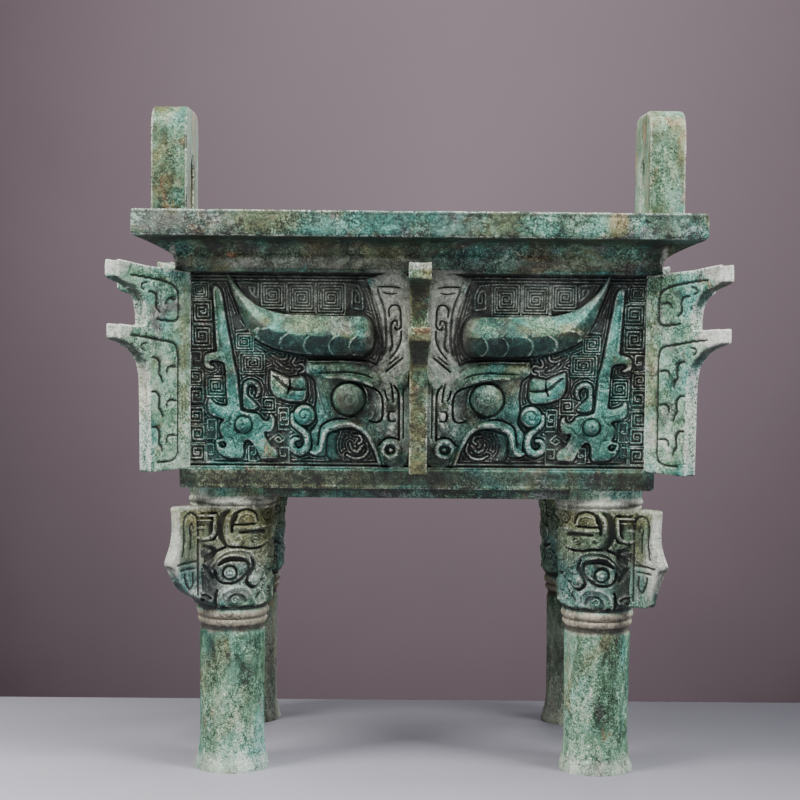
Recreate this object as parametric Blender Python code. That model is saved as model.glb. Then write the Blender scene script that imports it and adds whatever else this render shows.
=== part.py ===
"""A square bronze ding: a rectangular cast vessel on four round legs.

The vessel has a thick everted lip, two upright loop ears on the short sides, hooked flanges at its
corners and at the middle of every side, and on every side the horned mask that this kind of vessel
carries, with an upright dragon at each end of the long sides. It is one casting, so it is one object.

Frame: metres, +Z up, origin on the ground below the middle of the vessel. X runs along the long
sides and the front looks towards -Y.
"""

from math import cos, pi, radians, sin, sqrt

import bmesh
import bpy
from mathutils import Matrix, Vector

MM = 0.001

# Driving dimensions
RIM_LENGTH = 250 * MM
RIM_WIDTH = 180 * MM
RIM_TOP = 253 * MM
LIP_DEPTH = 11.5 * MM
NECK_TOP = 233.5 * MM
LIP_OVERHANG = 17.2 * MM
BODY_BOTTOM = 130 * MM
BODY_TAPER = 2.3 * MM
BASE_DROP = 5 * MM
BASE_INSET = 9 * MM
MOUTH_LENGTH = 204 * MM
MOUTH_WIDTH = 134 * MM
FLOOR_TOP = 131 * MM

PANEL_BOTTOM = 140 * MM
PANEL_TOP = 223.5 * MM
PANEL_MARGIN = 5.2 * MM
PANEL_RECESS = 2 * MM

EAR_WIDTH = 54 * MM
EAR_HEIGHT = 50 * MM
EAR_THICKNESS = 17 * MM
EAR_CORNER = 12 * MM
EAR_HOLE_WIDTH = 17 * MM
EAR_HOLE_SILL = 0.8 * MM
EAR_HOLE_TOP = 27 * MM
EAR_CENTRE = 115.7 * MM

LEG_X = 83.4 * MM
LEG_Y = 48.3 * MM
LEG_SIDES = 14

SINK = 1.2 * MM  # how far each added form reaches into the metal behind it

# Outline of the hooked flange: (reach out from the wall, height), in mm
FLANGE_OUTLINE = (
    (-5, 226), (0, 226), (20, 228.2), (36, 231), (36, 223), (29.5, 220.6), (24, 217),
    (21, 212), (20.5, 202.4), (35, 203.4), (35, 196.6), (28.5, 194.8), (23, 190.6),
    (19.3, 184.5), (18.4, 176), (17.8, 138), (-5, 138.8),
)  # fmt: skip
FLANGE_THICKNESS = 7.8 * MM
FLANGE_FLARE = 2.2 * MM  # how much thicker the tips of the hooks are
FLANGE_FLARE_FROM = 20 * MM
FLANGE_REACH = 36 * MM
SIDE_FLANGE_DROP = 6 * MM  # the middle flanges of the short sides are set lower

# Outline of the leg's flange: (distance from the leg's axis, height), in mm
LEG_FLANGE_OUTLINE = (
    (12, 121.2), (34.6, 121.4), (33.6, 110), (35, 103), (38.3, 95.6), (35, 92),
    (32.5, 84), (30, 77.4), (12, 76.8),
)  # fmt: skip
LEG_FLANGE_THICKNESS = 7 * MM

# The turned profile of a leg: (radius, height), in mm, from the vessel's floor to the ground
LEG_PROFILE = (
    (19.6, 128), (19.4, 124.6), (20.2, 122.8), (17.8, 120.6), (15.9, 77.6), (15, 75.2),
    (16.4, 72.6), (16.2, 70), (14.3, 67.4), (14.3, 64.8), (15, 62.6), (14.6, 16), (15.5, 6.5),
    (17, 0),
)  # fmt: skip

# The mask, for the half to one side of the middle flange. Points are (distance from the middle,
# height above the panel's lower edge, half width), in mm.
HORN = (
    (16.5, 57, 6.6), (19, 57, 9), (38, 57.2, 9.1), (58, 59.5, 8.5), (68, 62.8, 7.4),
    (75, 67.6, 5.4), (79.5, 73.6, 3.3), (82.8, 82, 0.9),
)  # fmt: skip
HORN_RISE = 8.2 * MM
EYE = (31, 30.5)
EYE_RADIUS = 7.1 * MM
EYE_RISE = 6.4 * MM
FOREHEAD = (
    (5, 42), (15, 44), (13.6, 56), (16, 70), (21, 78), (27, 82.5), (5, 82.5),
)  # fmt: skip
BROW = ((14, 40, 2.6), (28, 42, 3), (47, 42.5, 2.2))
CANTHUS = ((12, 33, 2), (18.5, 31, 4), (23.5, 21, 1.6))
CHEEK = ((42.5, 37, 1.6), (44.4, 29, 2.4), (45, 18, 1.8))
MOUTH = (
    (16.2, 2, 1.5), (20, 11, 1.9), (26, 18.4, 2.2), (33, 21.4, 2.2), (40, 19.2, 2.2),
    (44, 10, 2.1), (49, 4.4, 2.1), (54.6, 8.2, 1.9), (54.4, 14.4, 1.3),
)  # fmt: skip
NOSTRIL = (12, 7)
NOSTRIL_RADIUS = 4.6 * MM
NOSE = ((6, 41, 2.6), (6.4, 26, 2.4), (6.4, 12, 2))
EAR_LEAF = (
    (65.6, 42.5), (65.2, 36), (62, 30), (56, 27.6), (50, 29), (48, 34.5), (50, 40), (57, 40.4),
)  # fmt: skip

# The upright dragon at the end of a long side, as strokes like the mask's
DRAGON = (
    ((88.6, 80.5, 1.3), (86.4, 62, 2.6), (84.4, 42, 2.9), (81, 26, 3.2), (77, 17, 4.2)),
    ((85, 46, 2.2), (92, 47.4, 2.2), (94.6, 43.6, 1.8), (92.6, 39.4, 1.2)),
    ((83, 25.5, 2), (89, 24.4, 2.3), (93, 25, 1.3)),
    ((80, 15, 3.2), (81.6, 8.4, 3), (78, 3.6, 2.1)),
    ((83, 7.2, 1.8), (88, 7, 1.5), (91.6, 11.6, 1.1)),
    ((75, 14, 3.2), (69, 8.6, 2.6), (62.6, 3.8, 2)),
    ((74, 18, 3.4), (66.4, 15.6, 2.4), (63.4, 22.4, 1.2)),
)  # fmt: skip
DRAGON_EYE = (76.8, 17.8)
DRAGON_EYE_RADIUS = 3.6 * MM
PLATE_RISE = 3.2 * MM
LAYERS = 8

# The short sides carry the same mask, drawn in, without the dragons
SIDE_SQUEEZE = 0.775

# The mask on a leg, for one side of its flange: (distance round the leg from the flange, height
# above the mask's lower edge, half width), in mm
LEG_MASK_BOTTOM = 77.5
LEG_HORN = (
    (17, 42, 1.3), (11.6, 38, 1.7), (11.2, 30, 1.9), (16, 25.6, 1.9), (22.4, 27.4, 1.7),
    (25, 33, 1.2),
)  # fmt: skip
LEG_EYE = (13.8, 16)
LEG_EYE_RADIUS = 3.5 * MM
LEG_JAW = (
    (6.5, 4.6, 1.5), (10.2, 7.6, 1.5), (15, 8.8, 1.5), (20, 6, 1.5), (24.5, 2.4, 1.3),
)  # fmt: skip
LEG_RELIEF = 1.5 * MM

BRONZE_COLOUR = (0.10, 0.21, 0.16, 1)
BRONZE_ROUGHNESS = 0.62
BRONZE_METALLIC = 0.25


def half_size(height):
    """The vessel's half length and half width at a height: its walls lean out a little."""
    half_length = RIM_LENGTH / 2 - LIP_OVERHANG
    share = (NECK_TOP - height) / (NECK_TOP - BODY_BOTTOM)
    half_length -= BODY_TAPER * share
    return half_length, half_length - (RIM_LENGTH - RIM_WIDTH) / 2


def clear_scene():
    """Removes every object of the open scene."""
    for obj in list(bpy.data.objects):
        bpy.data.objects.remove(obj)


def bronze():
    """The patinated bronze as one Principled material."""
    material = bpy.data.materials.new("patinated_bronze")
    material.use_nodes = True
    shader = material.node_tree.nodes["Principled BSDF"]
    shader.inputs["Base Color"].default_value = BRONZE_COLOUR
    shader.inputs["Roughness"].default_value = BRONZE_ROUGHNESS
    shader.inputs["Metallic"].default_value = BRONZE_METALLIC
    return material


def add_object(name, bm):
    """Links the mesh as an object, with its faces turned outwards."""
    bmesh.ops.recalc_face_normals(bm, faces=bm.faces)
    mesh = bpy.data.meshes.new(name)
    bm.to_mesh(mesh)
    bm.free()
    obj = bpy.data.objects.new(name, mesh)
    bpy.context.scene.collection.objects.link(obj)
    return obj


def add_operand(target, name, bm, operation="UNION"):
    """Adds the closed shapes in bm to the target, or cuts them from it, by a Boolean."""
    operand = add_object(name, bm)
    operand.hide_render = True
    operand.display_type = "WIRE"
    modifier = target.modifiers.new(name, "BOOLEAN")
    modifier.operation = operation
    modifier.object = operand
    modifier.solver = "EXACT"
    return operand


def bridge_rings(bm, rings):
    """Faces from each ring of points to the next, with the first and the last ring filled."""
    made = [[bm.verts.new(point) for point in ring] for ring in rings]
    count = len(made[0])
    for lower, upper in zip(made, made[1:]):
        for i in range(count):
            j = (i + 1) % count
            bm.faces.new((lower[i], lower[j], upper[j], upper[i]))
    bm.faces.new(made[0])
    bm.faces.new(made[-1])


def rectangle(half_length, half_width, height):
    """The corners of a level rectangle centred on the vessel's axis."""
    corners = ((-1, -1), (1, -1), (1, 1), (-1, 1))
    return [Vector((half_length * x, half_width * y, height)) for x, y in corners]


def vessel_shell():
    """The open box: base slab, leaning walls, hollow under the lip, lip, mouth and floor."""
    base_length, base_width = half_size(BODY_BOTTOM)
    neck_length, neck_width = half_size(NECK_TOP)
    lip_bottom = RIM_TOP - LIP_DEPTH
    rings = [
        rectangle(base_length - BASE_INSET - 1 * MM, base_width - BASE_INSET - 1 * MM,
                  BODY_BOTTOM - BASE_DROP),
        rectangle(base_length - BASE_INSET, base_width - BASE_INSET, BODY_BOTTOM),
        rectangle(base_length, base_width, BODY_BOTTOM),
        rectangle(neck_length, neck_width, NECK_TOP),
    ]  # fmt: skip
    # The underside of the lip slopes straight out on the short sides and is hollow on the long ones
    for share in (0.4, 0.72, 0.88, 1):
        hollow = 1 - sqrt(1 - share**3)
        rings.append(
            rectangle(
                neck_length + LIP_OVERHANG * share,
                neck_width + LIP_OVERHANG * hollow,
                NECK_TOP + (lip_bottom - NECK_TOP) * share,
            )
        )
    rings.append(rectangle(RIM_LENGTH / 2, RIM_WIDTH / 2, RIM_TOP))
    rings.append(rectangle(MOUTH_LENGTH / 2, MOUTH_WIDTH / 2, RIM_TOP))
    rings.append(
        rectangle(MOUTH_LENGTH / 2 - BODY_TAPER, MOUTH_WIDTH / 2 - BODY_TAPER, FLOOR_TOP)
    )
    bm = bmesh.new()
    bridge_rings(bm, rings)
    return bm


def side_places():
    """For each side, a function from (along, up, out) to a point of the vessel.

    along runs from the middle of the side to its right-hand end, up from the ground, and out from
    the leaning wall. Each comes with True on a long side.
    """
    places = []
    for quarter in range(4):
        turn = Matrix.Rotation(quarter * pi / 2, 4, "Z")
        long_side = quarter % 2 == 0

        def place(along, up, out, turn=turn, long_side=long_side):
            wall = half_size(up)[1 if long_side else 0]
            return turn @ Vector((along, -wall - out, up))

        places.append((place, long_side))
    return places


def half_places():
    """The same for each half of each side, where along runs from the middle towards the end."""
    places = []
    for side, long_side in side_places():
        for hand in (-1, 1):

            def place(along, up, out, side=side, hand=hand):
                return side(hand * along, up, out)

            places.append((place, long_side))
    return places


def panel_cutters():
    """The sunk fields of the four sides, as one closed box for each."""
    bm = bmesh.new()
    for place, long_side in side_places():
        rings = []
        for up in (PANEL_BOTTOM, PANEL_TOP):
            reach = half_size(up)[0 if long_side else 1] - PANEL_MARGIN
            corners = ((-reach, -PANEL_RECESS), (reach, -PANEL_RECESS), (reach, 5 * MM),
                       (-reach, 5 * MM))  # fmt: skip
            rings.append([place(along, up, out) for along, out in corners])
        bridge_rings(bm, rings)
    return bm


def smooth_path(points, steps):
    """A Catmull-Rom curve through the points, as steps points for each stretch and the last one."""
    points = [Vector(point) for point in points]
    padded = [points[0] * 2 - points[1], *points, points[-1] * 2 - points[-2]]
    path = []
    for a, b, c, d in zip(padded, padded[1:], padded[2:], padded[3:]):
        for step in range(steps):
            t = step / steps
            path.append(
                (b * 2 + (c - a) * t + (a * 2 - b * 5 + c * 4 - d) * t**2
                 + (b * 3 - a - c * 3 + d) * t**3) / 2
            )  # fmt: skip
    return [*path, points[-1]]


def stroke_outline(stroke, steps=1):
    """The closed outline of a stroke whose points carry their half width."""
    path = smooth_path(stroke, steps)
    left, right = [], []
    for i, point in enumerate(path):
        ahead = path[min(i + 1, len(path) - 1)]
        behind = path[max(i - 1, 0)]
        along = (ahead - behind).xy.normalized()
        across = Vector((-along.y, along.x)) * max(point.z, 0.3)
        left.append(point.xy + across)
        right.append(point.xy - across)
    tip = path[-1].xy + (path[-1] - path[-2]).xy.normalized() * path[-1].z * 0.8
    return [*left, tip, *reversed(right)]


def add_plate(bm, place, outline, base, top, squeeze=1.0):
    """A flat-topped form with this outline in mm, a little smaller on top than at its foot."""
    count = len(outline)
    middle = sum((Vector(point) for point in outline), Vector((0, 0))) / count
    rings = []
    for out, shrink in ((base, 1.0), (top, 0.95)):
        ring = []
        for point in outline:
            along, up = middle + (Vector(point) - middle) * shrink
            ring.append(place(along * squeeze * MM, PANEL_BOTTOM + up * MM, out))
        rings.append(ring)
    bridge_rings(bm, rings)


def add_dome(bm, place, centre, radius, base, rise, sides=8, tiers=2):
    """A round boss: rings of a half ellipse that end in a small flat top."""
    rings = []
    angles = [0.0, *(radians(80) * (tier + 1) / tiers for tier in range(tiers))]
    for index, angle in enumerate(angles):
        out = base if index == 0 else rise * sin(angle)
        reach = radius * cos(angle)
        rings.append(
            [
                place(
                    centre[0] + reach * cos(2 * pi * i / sides),
                    centre[1] + reach * sin(2 * pi * i / sides),
                    out,
                )
                for i in range(sides)
            ]
        )
    bridge_rings(bm, rings)


def add_ridge(bm, place, stroke, base, rise, squeeze=1.0, sides=4, steps=2):
    """A rounded ridge along a stroke: half an ellipse carried along it, low where it is narrow."""
    path = smooth_path(stroke, steps)
    widest = max(point.z for point in path)
    rings = []
    for i, point in enumerate(path):
        ahead = path[min(i + 1, len(path) - 1)]
        behind = path[max(i - 1, 0)]
        along = (ahead - behind).xy.normalized()
        across = Vector((-along.y, along.x)) * max(point.z, 0.3)
        height = rise * (0.35 + 0.65 * point.z / widest)
        ring = []
        for side in range(sides + 1):
            angle = pi * side / sides
            spot = point.xy + across * cos(angle)
            out = base if side in (0, sides) else base + (height - base) * sin(angle)
            ring.append(place(spot.x * squeeze * MM, PANEL_BOTTOM + spot.y * MM, out))
        rings.append(ring)
    bridge_rings(bm, rings)


def side_masks(target):
    """The masks and the dragons of the four sides.

    Forms that touch are added one after the other, so every layer holds forms that stand apart.
    """
    base = -PANEL_RECESS - SINK
    top = PLATE_RISE - PANEL_RECESS
    layers = [bmesh.new() for _ in range(LAYERS)]
    for place, long_side in half_places():
        squeeze = 1.0 if long_side else SIDE_SQUEEZE

        def plate(layer, outline, squeeze=squeeze, place=place):
            level = top + 0.13 * layer * MM
            add_plate(layers[layer], place, outline, base, level, squeeze)

        def dome(layer, centre, radius, rise, squeeze=squeeze, place=place):
            middle = (centre[0] * squeeze * MM, PANEL_BOTTOM + centre[1] * MM)
            add_dome(layers[layer], place, middle, radius, base, rise - PANEL_RECESS)

        plate(0, FOREHEAD)
        plate(0, EAR_LEAF)
        plate(1, stroke_outline(BROW))
        plate(1, stroke_outline(MOUTH))
        plate(2, stroke_outline(CANTHUS))
        plate(3, stroke_outline(CHEEK))
        plate(3, stroke_outline(NOSE))
        add_ridge(layers[4], place, HORN, base, HORN_RISE - PANEL_RECESS, squeeze)
        dome(4, EYE, EYE_RADIUS, EYE_RISE)
        dome(4, NOSTRIL, NOSTRIL_RADIUS, PLATE_RISE + 1 * MM)
        if long_side:
            for layer, stroke in enumerate(DRAGON):
                plate(layer, stroke_outline(stroke))
            dome(LAYERS - 1, DRAGON_EYE, DRAGON_EYE_RADIUS, PLATE_RISE + 1.6 * MM)
    for index, layer in enumerate(layers):
        add_operand(target, f"mask_{index + 1}", layer)


def flange_slab(bm, outline, place, thickness):
    """A flange: its outline filled on both faces, as thick at each point as thickness says."""
    rings = []
    for hand in (-1, 1):
        ring = []
        for reach, height in outline:
            reach, height = reach * MM, height * MM
            ring.append(place(reach, hand * thickness(reach) / 2, height))
        rings.append(ring)
    bridge_rings(bm, rings)


def hooked_thickness(reach):
    """The body's flanges are even up to the wall of their hooks and thicken to the tips."""
    share = (reach - FLANGE_FLARE_FROM) / (FLANGE_REACH - FLANGE_FLARE_FROM)
    return FLANGE_THICKNESS + FLANGE_FLARE * max(0.0, min(1.0, share))


def body_flanges():
    """The eight hooked flanges: one at each corner, and one at the middle of each side."""
    bm = bmesh.new()
    half_length, half_width = half_size((PANEL_BOTTOM + PANEL_TOP) / 2)
    places = [
        (half_length * x, half_width * y, Vector((x, y)).normalized())
        for x, y in ((-1, -1), (1, -1), (1, 1), (-1, 1), (0, -1), (1, 0), (0, 1), (-1, 0))
    ]
    for x, y, away in places:
        drop = 0 if y else SIDE_FLANGE_DROP

        def place(reach, across, height, x=x, y=y, away=away, drop=drop):
            return Vector(
                (
                    x + away.x * reach - away.y * across,
                    y + away.y * reach + away.x * across,
                    height - drop,
                )
            )

        flange_slab(bm, FLANGE_OUTLINE, place, hooked_thickness)
    return bm


def ear_outline(half_width, height, corner, foot, steps):
    """(along, up) from the foot on one side, over a top with round corners, to the other foot."""
    points = [(half_width, foot)]
    for step in range(steps + 1):
        angle = pi / 2 * step / steps
        points.append(
            (half_width - corner + corner * cos(angle), height - corner + corner * sin(angle))
        )
    return points + [(-along, up) for along, up in reversed(points)]


def ears(target):
    """The two upright loops on the short sides of the lip, with their arched holes."""
    solid, holes = bmesh.new(), bmesh.new()
    outer = ear_outline(EAR_WIDTH / 2, EAR_HEIGHT, EAR_CORNER, -2 * MM, 3)
    inner = ear_outline(
        EAR_HOLE_WIDTH / 2, EAR_HOLE_TOP, EAR_HOLE_WIDTH / 2 - 0.5 * MM, EAR_HOLE_SILL, 4
    )
    for hand in (-1, 1):
        for bm, outline, half in (
            (solid, outer, EAR_THICKNESS / 2),
            (holes, inner, EAR_THICKNESS),
        ):
            bridge_rings(
                bm,
                [
                    [Vector((hand * EAR_CENTRE + side * half, along, RIM_TOP + up))
                     for along, up in outline]
                    for side in (-1, 1)
                ],
            )  # fmt: skip
    add_operand(target, "ears", solid)
    add_operand(target, "ear_holes", holes, "DIFFERENCE")


def leg_places():
    """The axis of each leg and the angle at which its flange points away from the vessel."""
    return [
        (Vector((LEG_X * x, LEG_Y * y)), Vector((x, y)).angle_signed(Vector((1, 0))))
        for x, y in ((-1, -1), (1, -1), (1, 1), (-1, 1))
    ]


def legs(target):
    """The four turned legs, their flanges and the forms of their masks."""
    shafts, fins, masks = bmesh.new(), bmesh.new(), bmesh.new()
    for axis, heading in leg_places():
        rings = [
            [
                Vector(
                    (
                        axis.x + radius * MM * cos(2 * pi * i / LEG_SIDES),
                        axis.y + radius * MM * sin(2 * pi * i / LEG_SIDES),
                        height * MM,
                    )
                )
                for i in range(LEG_SIDES)
            ]
            for radius, height in LEG_PROFILE
        ]
        bridge_rings(shafts, rings)

        def fin_place(reach, across, height, axis=axis, heading=heading):
            return Vector(
                (
                    axis.x + reach * cos(heading) - across * sin(heading),
                    axis.y + reach * sin(heading) + across * cos(heading),
                    height,
                )
            )

        flange_slab(fins, LEG_FLANGE_OUTLINE, fin_place, lambda reach: LEG_FLANGE_THICKNESS)
        for hand in (-1, 1):

            def skin(along, up, out, axis=axis, heading=heading, hand=hand):
                up = up - PANEL_BOTTOM + LEG_MASK_BOTTOM * MM
                radius = 15.8 * MM + 2 * MM * (up - LEG_MASK_BOTTOM * MM) / (43 * MM)
                angle = heading + hand * along / radius
                reach = radius + out
                return Vector((axis.x + reach * cos(angle), axis.y + reach * sin(angle), up))

            for stroke in (LEG_HORN, LEG_JAW):
                add_ridge(masks, skin, stroke, -SINK, LEG_RELIEF, 1.0, 3, 1)
            middle = (LEG_EYE[0] * MM, PANEL_BOTTOM + LEG_EYE[1] * MM)
            add_dome(masks, skin, middle, LEG_EYE_RADIUS, -SINK, LEG_RELIEF * 1.5)
    add_operand(target, "legs", shafts)
    add_operand(target, "leg_flanges", fins)
    add_operand(target, "leg_masks", masks)


def main():
    clear_scene()
    ding = add_object("ding", vessel_shell())
    ding.data.materials.append(bronze())
    add_operand(ding, "panels", panel_cutters(), "DIFFERENCE")
    side_masks(ding)
    add_operand(ding, "body_flanges", body_flanges())
    ears(ding)
    legs(ding)


main()
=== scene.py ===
"""A square bronze ding: the cast relief, the patina and the studio round it.

The vessel is worked out in millimetres and its meshes are written in metres. Every ornamented surface
is a sheet of heights over a flat pattern (Relief). Strokes, plates, domes and grooves are laid on
it by their distance from a drawn line, and the sheet is then bent onto the wall, flange or leg that
carries it. The square spirals of the ground are ridges carried along a path.
"""

from __future__ import annotations

import logging
from dataclasses import dataclass, field, replace
from enum import Enum
from typing import Callable, Sequence

import bpy
import numpy as np
from mathutils import Matrix, Vector
from mathutils.geometry import delaunay_2d_cdt


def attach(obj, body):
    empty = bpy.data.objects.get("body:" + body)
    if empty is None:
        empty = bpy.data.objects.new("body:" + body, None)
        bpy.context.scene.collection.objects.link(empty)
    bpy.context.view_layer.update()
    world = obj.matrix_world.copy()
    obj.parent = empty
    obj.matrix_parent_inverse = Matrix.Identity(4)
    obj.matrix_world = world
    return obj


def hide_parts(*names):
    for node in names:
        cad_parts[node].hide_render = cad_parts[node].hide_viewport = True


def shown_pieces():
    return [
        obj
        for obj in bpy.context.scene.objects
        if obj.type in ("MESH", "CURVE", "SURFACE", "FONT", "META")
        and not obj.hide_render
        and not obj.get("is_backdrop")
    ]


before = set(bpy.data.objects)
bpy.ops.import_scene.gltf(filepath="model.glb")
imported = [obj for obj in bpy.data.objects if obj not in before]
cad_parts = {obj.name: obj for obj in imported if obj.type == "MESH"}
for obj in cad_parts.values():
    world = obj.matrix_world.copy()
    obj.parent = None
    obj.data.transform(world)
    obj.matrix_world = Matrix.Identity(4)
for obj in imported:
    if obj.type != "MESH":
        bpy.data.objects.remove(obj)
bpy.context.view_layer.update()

LOG = logging.getLogger("ding")
MM = 0.001
NODE = "ding"
BODY = "root"

Array = np.ndarray
Points = Sequence[Sequence[float]]
Place = Callable[[Array, Array, Array], Array]
Triple = tuple[float, float, float]
Window = tuple[slice, slice]
Socket = bpy.types.NodeSocket
Stops = Sequence[tuple[float, tuple]]


# ---------------------------------------------------------------- drawn lines and their distances


def coords(*parts: Array | float) -> Array:
    """Coordinates side by side along a last axis; a single number is repeated."""
    return np.stack(np.broadcast_arrays(*parts), axis=-1)


def rounded(x: Array) -> Array:
    """A half circle over -1 to 1, sqrt(1 - x^2), and 0 beyond it."""
    return np.sqrt(np.clip(1.0 - x**2, 0.0, 1.0))


def mirrored(half: Array) -> Array:
    """A row of values and its mirror image."""
    return np.r_[half, half[::-1]]


def smoothstep(x: Array) -> Array:
    """0 below 0, 1 above 1, and the cubic 3x^2 - 2x^3 between."""
    x = np.clip(x, 0.0, 1.0)
    return x * x * (3.0 - 2.0 * x)


def curve_through(points: Points, closed: bool = False) -> Array:
    """A Catmull-Rom curve: in each span a cubic whose end slopes are half its neighbours' chord.

    Args:
        points: the points it passes, with any number of columns.
        closed: whether it runs round an outline.

    Returns:
        Five samples to a span and the last point, or four to a span round an outline.
    """
    p = np.asarray(points, float)
    if closed:
        ends = [np.roll(p, shift, axis=0) for shift in (1, 0, -1, -2)]
    else:
        wide = np.vstack([2 * p[0] - p[1], p, 2 * p[-1] - p[-2]])
        ends = [wide[i : len(wide) - 3 + i] for i in range(4)]
    a, b, c, d = (end[:, None, :] for end in ends)
    t = np.linspace(0.0, 1.0, 4 if closed else 5, endpoint=False)[None, :, None]
    spans = 0.5 * (
        2 * b + (c - a) * t + (2 * a - 5 * b + 4 * c - d) * t**2 + (3 * b - a - 3 * c + d) * t**3
    )
    samples = spans.reshape(-1, p.shape[1])
    return samples if closed else np.vstack([samples, p[-1]])


@dataclass
class StrokeField:
    """Where samples lie in a stroke: mm in from its edge, -1..1 across it, and mm along it."""

    inside: Array
    across: Array
    along: Array
    length: float


def measure_stroke(u: Array, v: Array, path: Array) -> StrokeField:
    """The place of every sample in a stroke whose path carries its half width.

    For each piece of the path a sample is dropped square onto it. Its depth is the half width there
    less the distance, and the piece where it lies deepest is the one that counts.

    Args:
        u, v: the samples' coordinates, mm.
        path: rows of u, v and half width, mm.

    Returns:
        The field of depths, places across and places along.
    """
    inside = np.full(u.shape, -1e9)
    across, along = np.zeros(u.shape), np.zeros(u.shape)
    start = 0.0
    for (ua, va, wa), (ub, vb, wb) in zip(path, path[1:]):
        du, dv = ub - ua, vb - va
        length = max(float(np.hypot(du, dv)), 1e-6)
        t = np.clip(((u - ua) * du + (v - va) * dv) / length**2, 0.0, 1.0)
        x, y = u - ua - t * du, v - va - t * dv
        gap, width = np.hypot(x, y), wa + t * (wb - wa)
        closer = width - gap > inside
        inside = np.where(closer, width - gap, inside)
        across = np.where(closer, np.sign(du * y - dv * x) * gap / width, across)
        along = np.where(closer, start + t * length, along)
        start += length
    return StrokeField(inside, across, along, start)


def measure_outline(u: Array, v: Array, outline: Array) -> Array:
    """Distance in from a closed outline, mm, negative outside it.

    The nearest edge gives the size. The sign comes from how often a level ray crosses the outline.

    Args:
        u, v: the samples' coordinates, mm.
        outline: rows of u and v, mm.

    Returns:
        The signed distances.
    """
    gap = np.full(u.shape, 1e9)
    within = np.zeros(u.shape, bool)
    for (ua, va), (ub, vb) in zip(outline, np.roll(outline, -1, axis=0)):
        du, dv = ub - ua, vb - va
        t = np.clip(((u - ua) * du + (v - va) * dv) / max(du * du + dv * dv, 1e-9), 0.0, 1.0)
        gap = np.minimum(gap, np.hypot(u - ua - t * du, v - va - t * dv))
        if dv:
            within ^= ((va > v) != (vb > v)) & (u < ua + (v - va) * du / dv)
    return np.where(within, gap, -gap)


def blurred(heights: Array, radius: float) -> Array:
    """A Gaussian blur, made by damping the sheet's frequencies by exp(-2 (pi r f)^2).

    Args:
        heights: the sheet.
        radius: the blur's standard deviation, in samples.

    Returns:
        The blurred sheet.
    """
    pad = int(3 * radius) + 2
    padded = np.pad(heights, pad, mode="edge")
    rows = np.fft.fftfreq(padded.shape[0])[:, None]
    columns = np.fft.rfftfreq(padded.shape[1])[None, :]
    damping = np.exp(-2.0 * (np.pi * radius) ** 2 * (rows**2 + columns**2))
    soft = np.fft.irfft2(np.fft.rfft2(padded) * damping, s=padded.shape)
    return soft[pad:-pad, pad:-pad]


def waviness(points: Array, wavelength: float, seed: int) -> Array:
    """A smooth unevenness from -1 to 1: the mean of eight sine waves that run in random directions.

    Args:
        points: where to read it, mm.
        wavelength: the mean distance from crest to crest, mm.
        seed: which set of directions.

    Returns:
        One value for each point.
    """
    rng = np.random.default_rng(seed)
    waves = rng.normal(size=(8, 3))
    lengths = np.linalg.norm(waves, axis=1, keepdims=True)
    waves *= 2 * np.pi / wavelength * rng.uniform(0.6, 1.7, (8, 1)) / lengths
    return np.sin(points @ waves.T + rng.uniform(0, 2 * np.pi, 8)).mean(axis=1) * 1.6


def squeezed(points: Points, squeeze: float) -> Array:
    """The points with their first column drawn in.

    Args:
        points: rows of u, v and any more, mm.
        squeeze: the share that u keeps.

    Returns:
        The points with u drawn in.
    """
    p = np.array(points, float)
    p[:, 0] *= squeeze
    return p


# ------------------------------------------------------------------------------ sheets of heights


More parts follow.
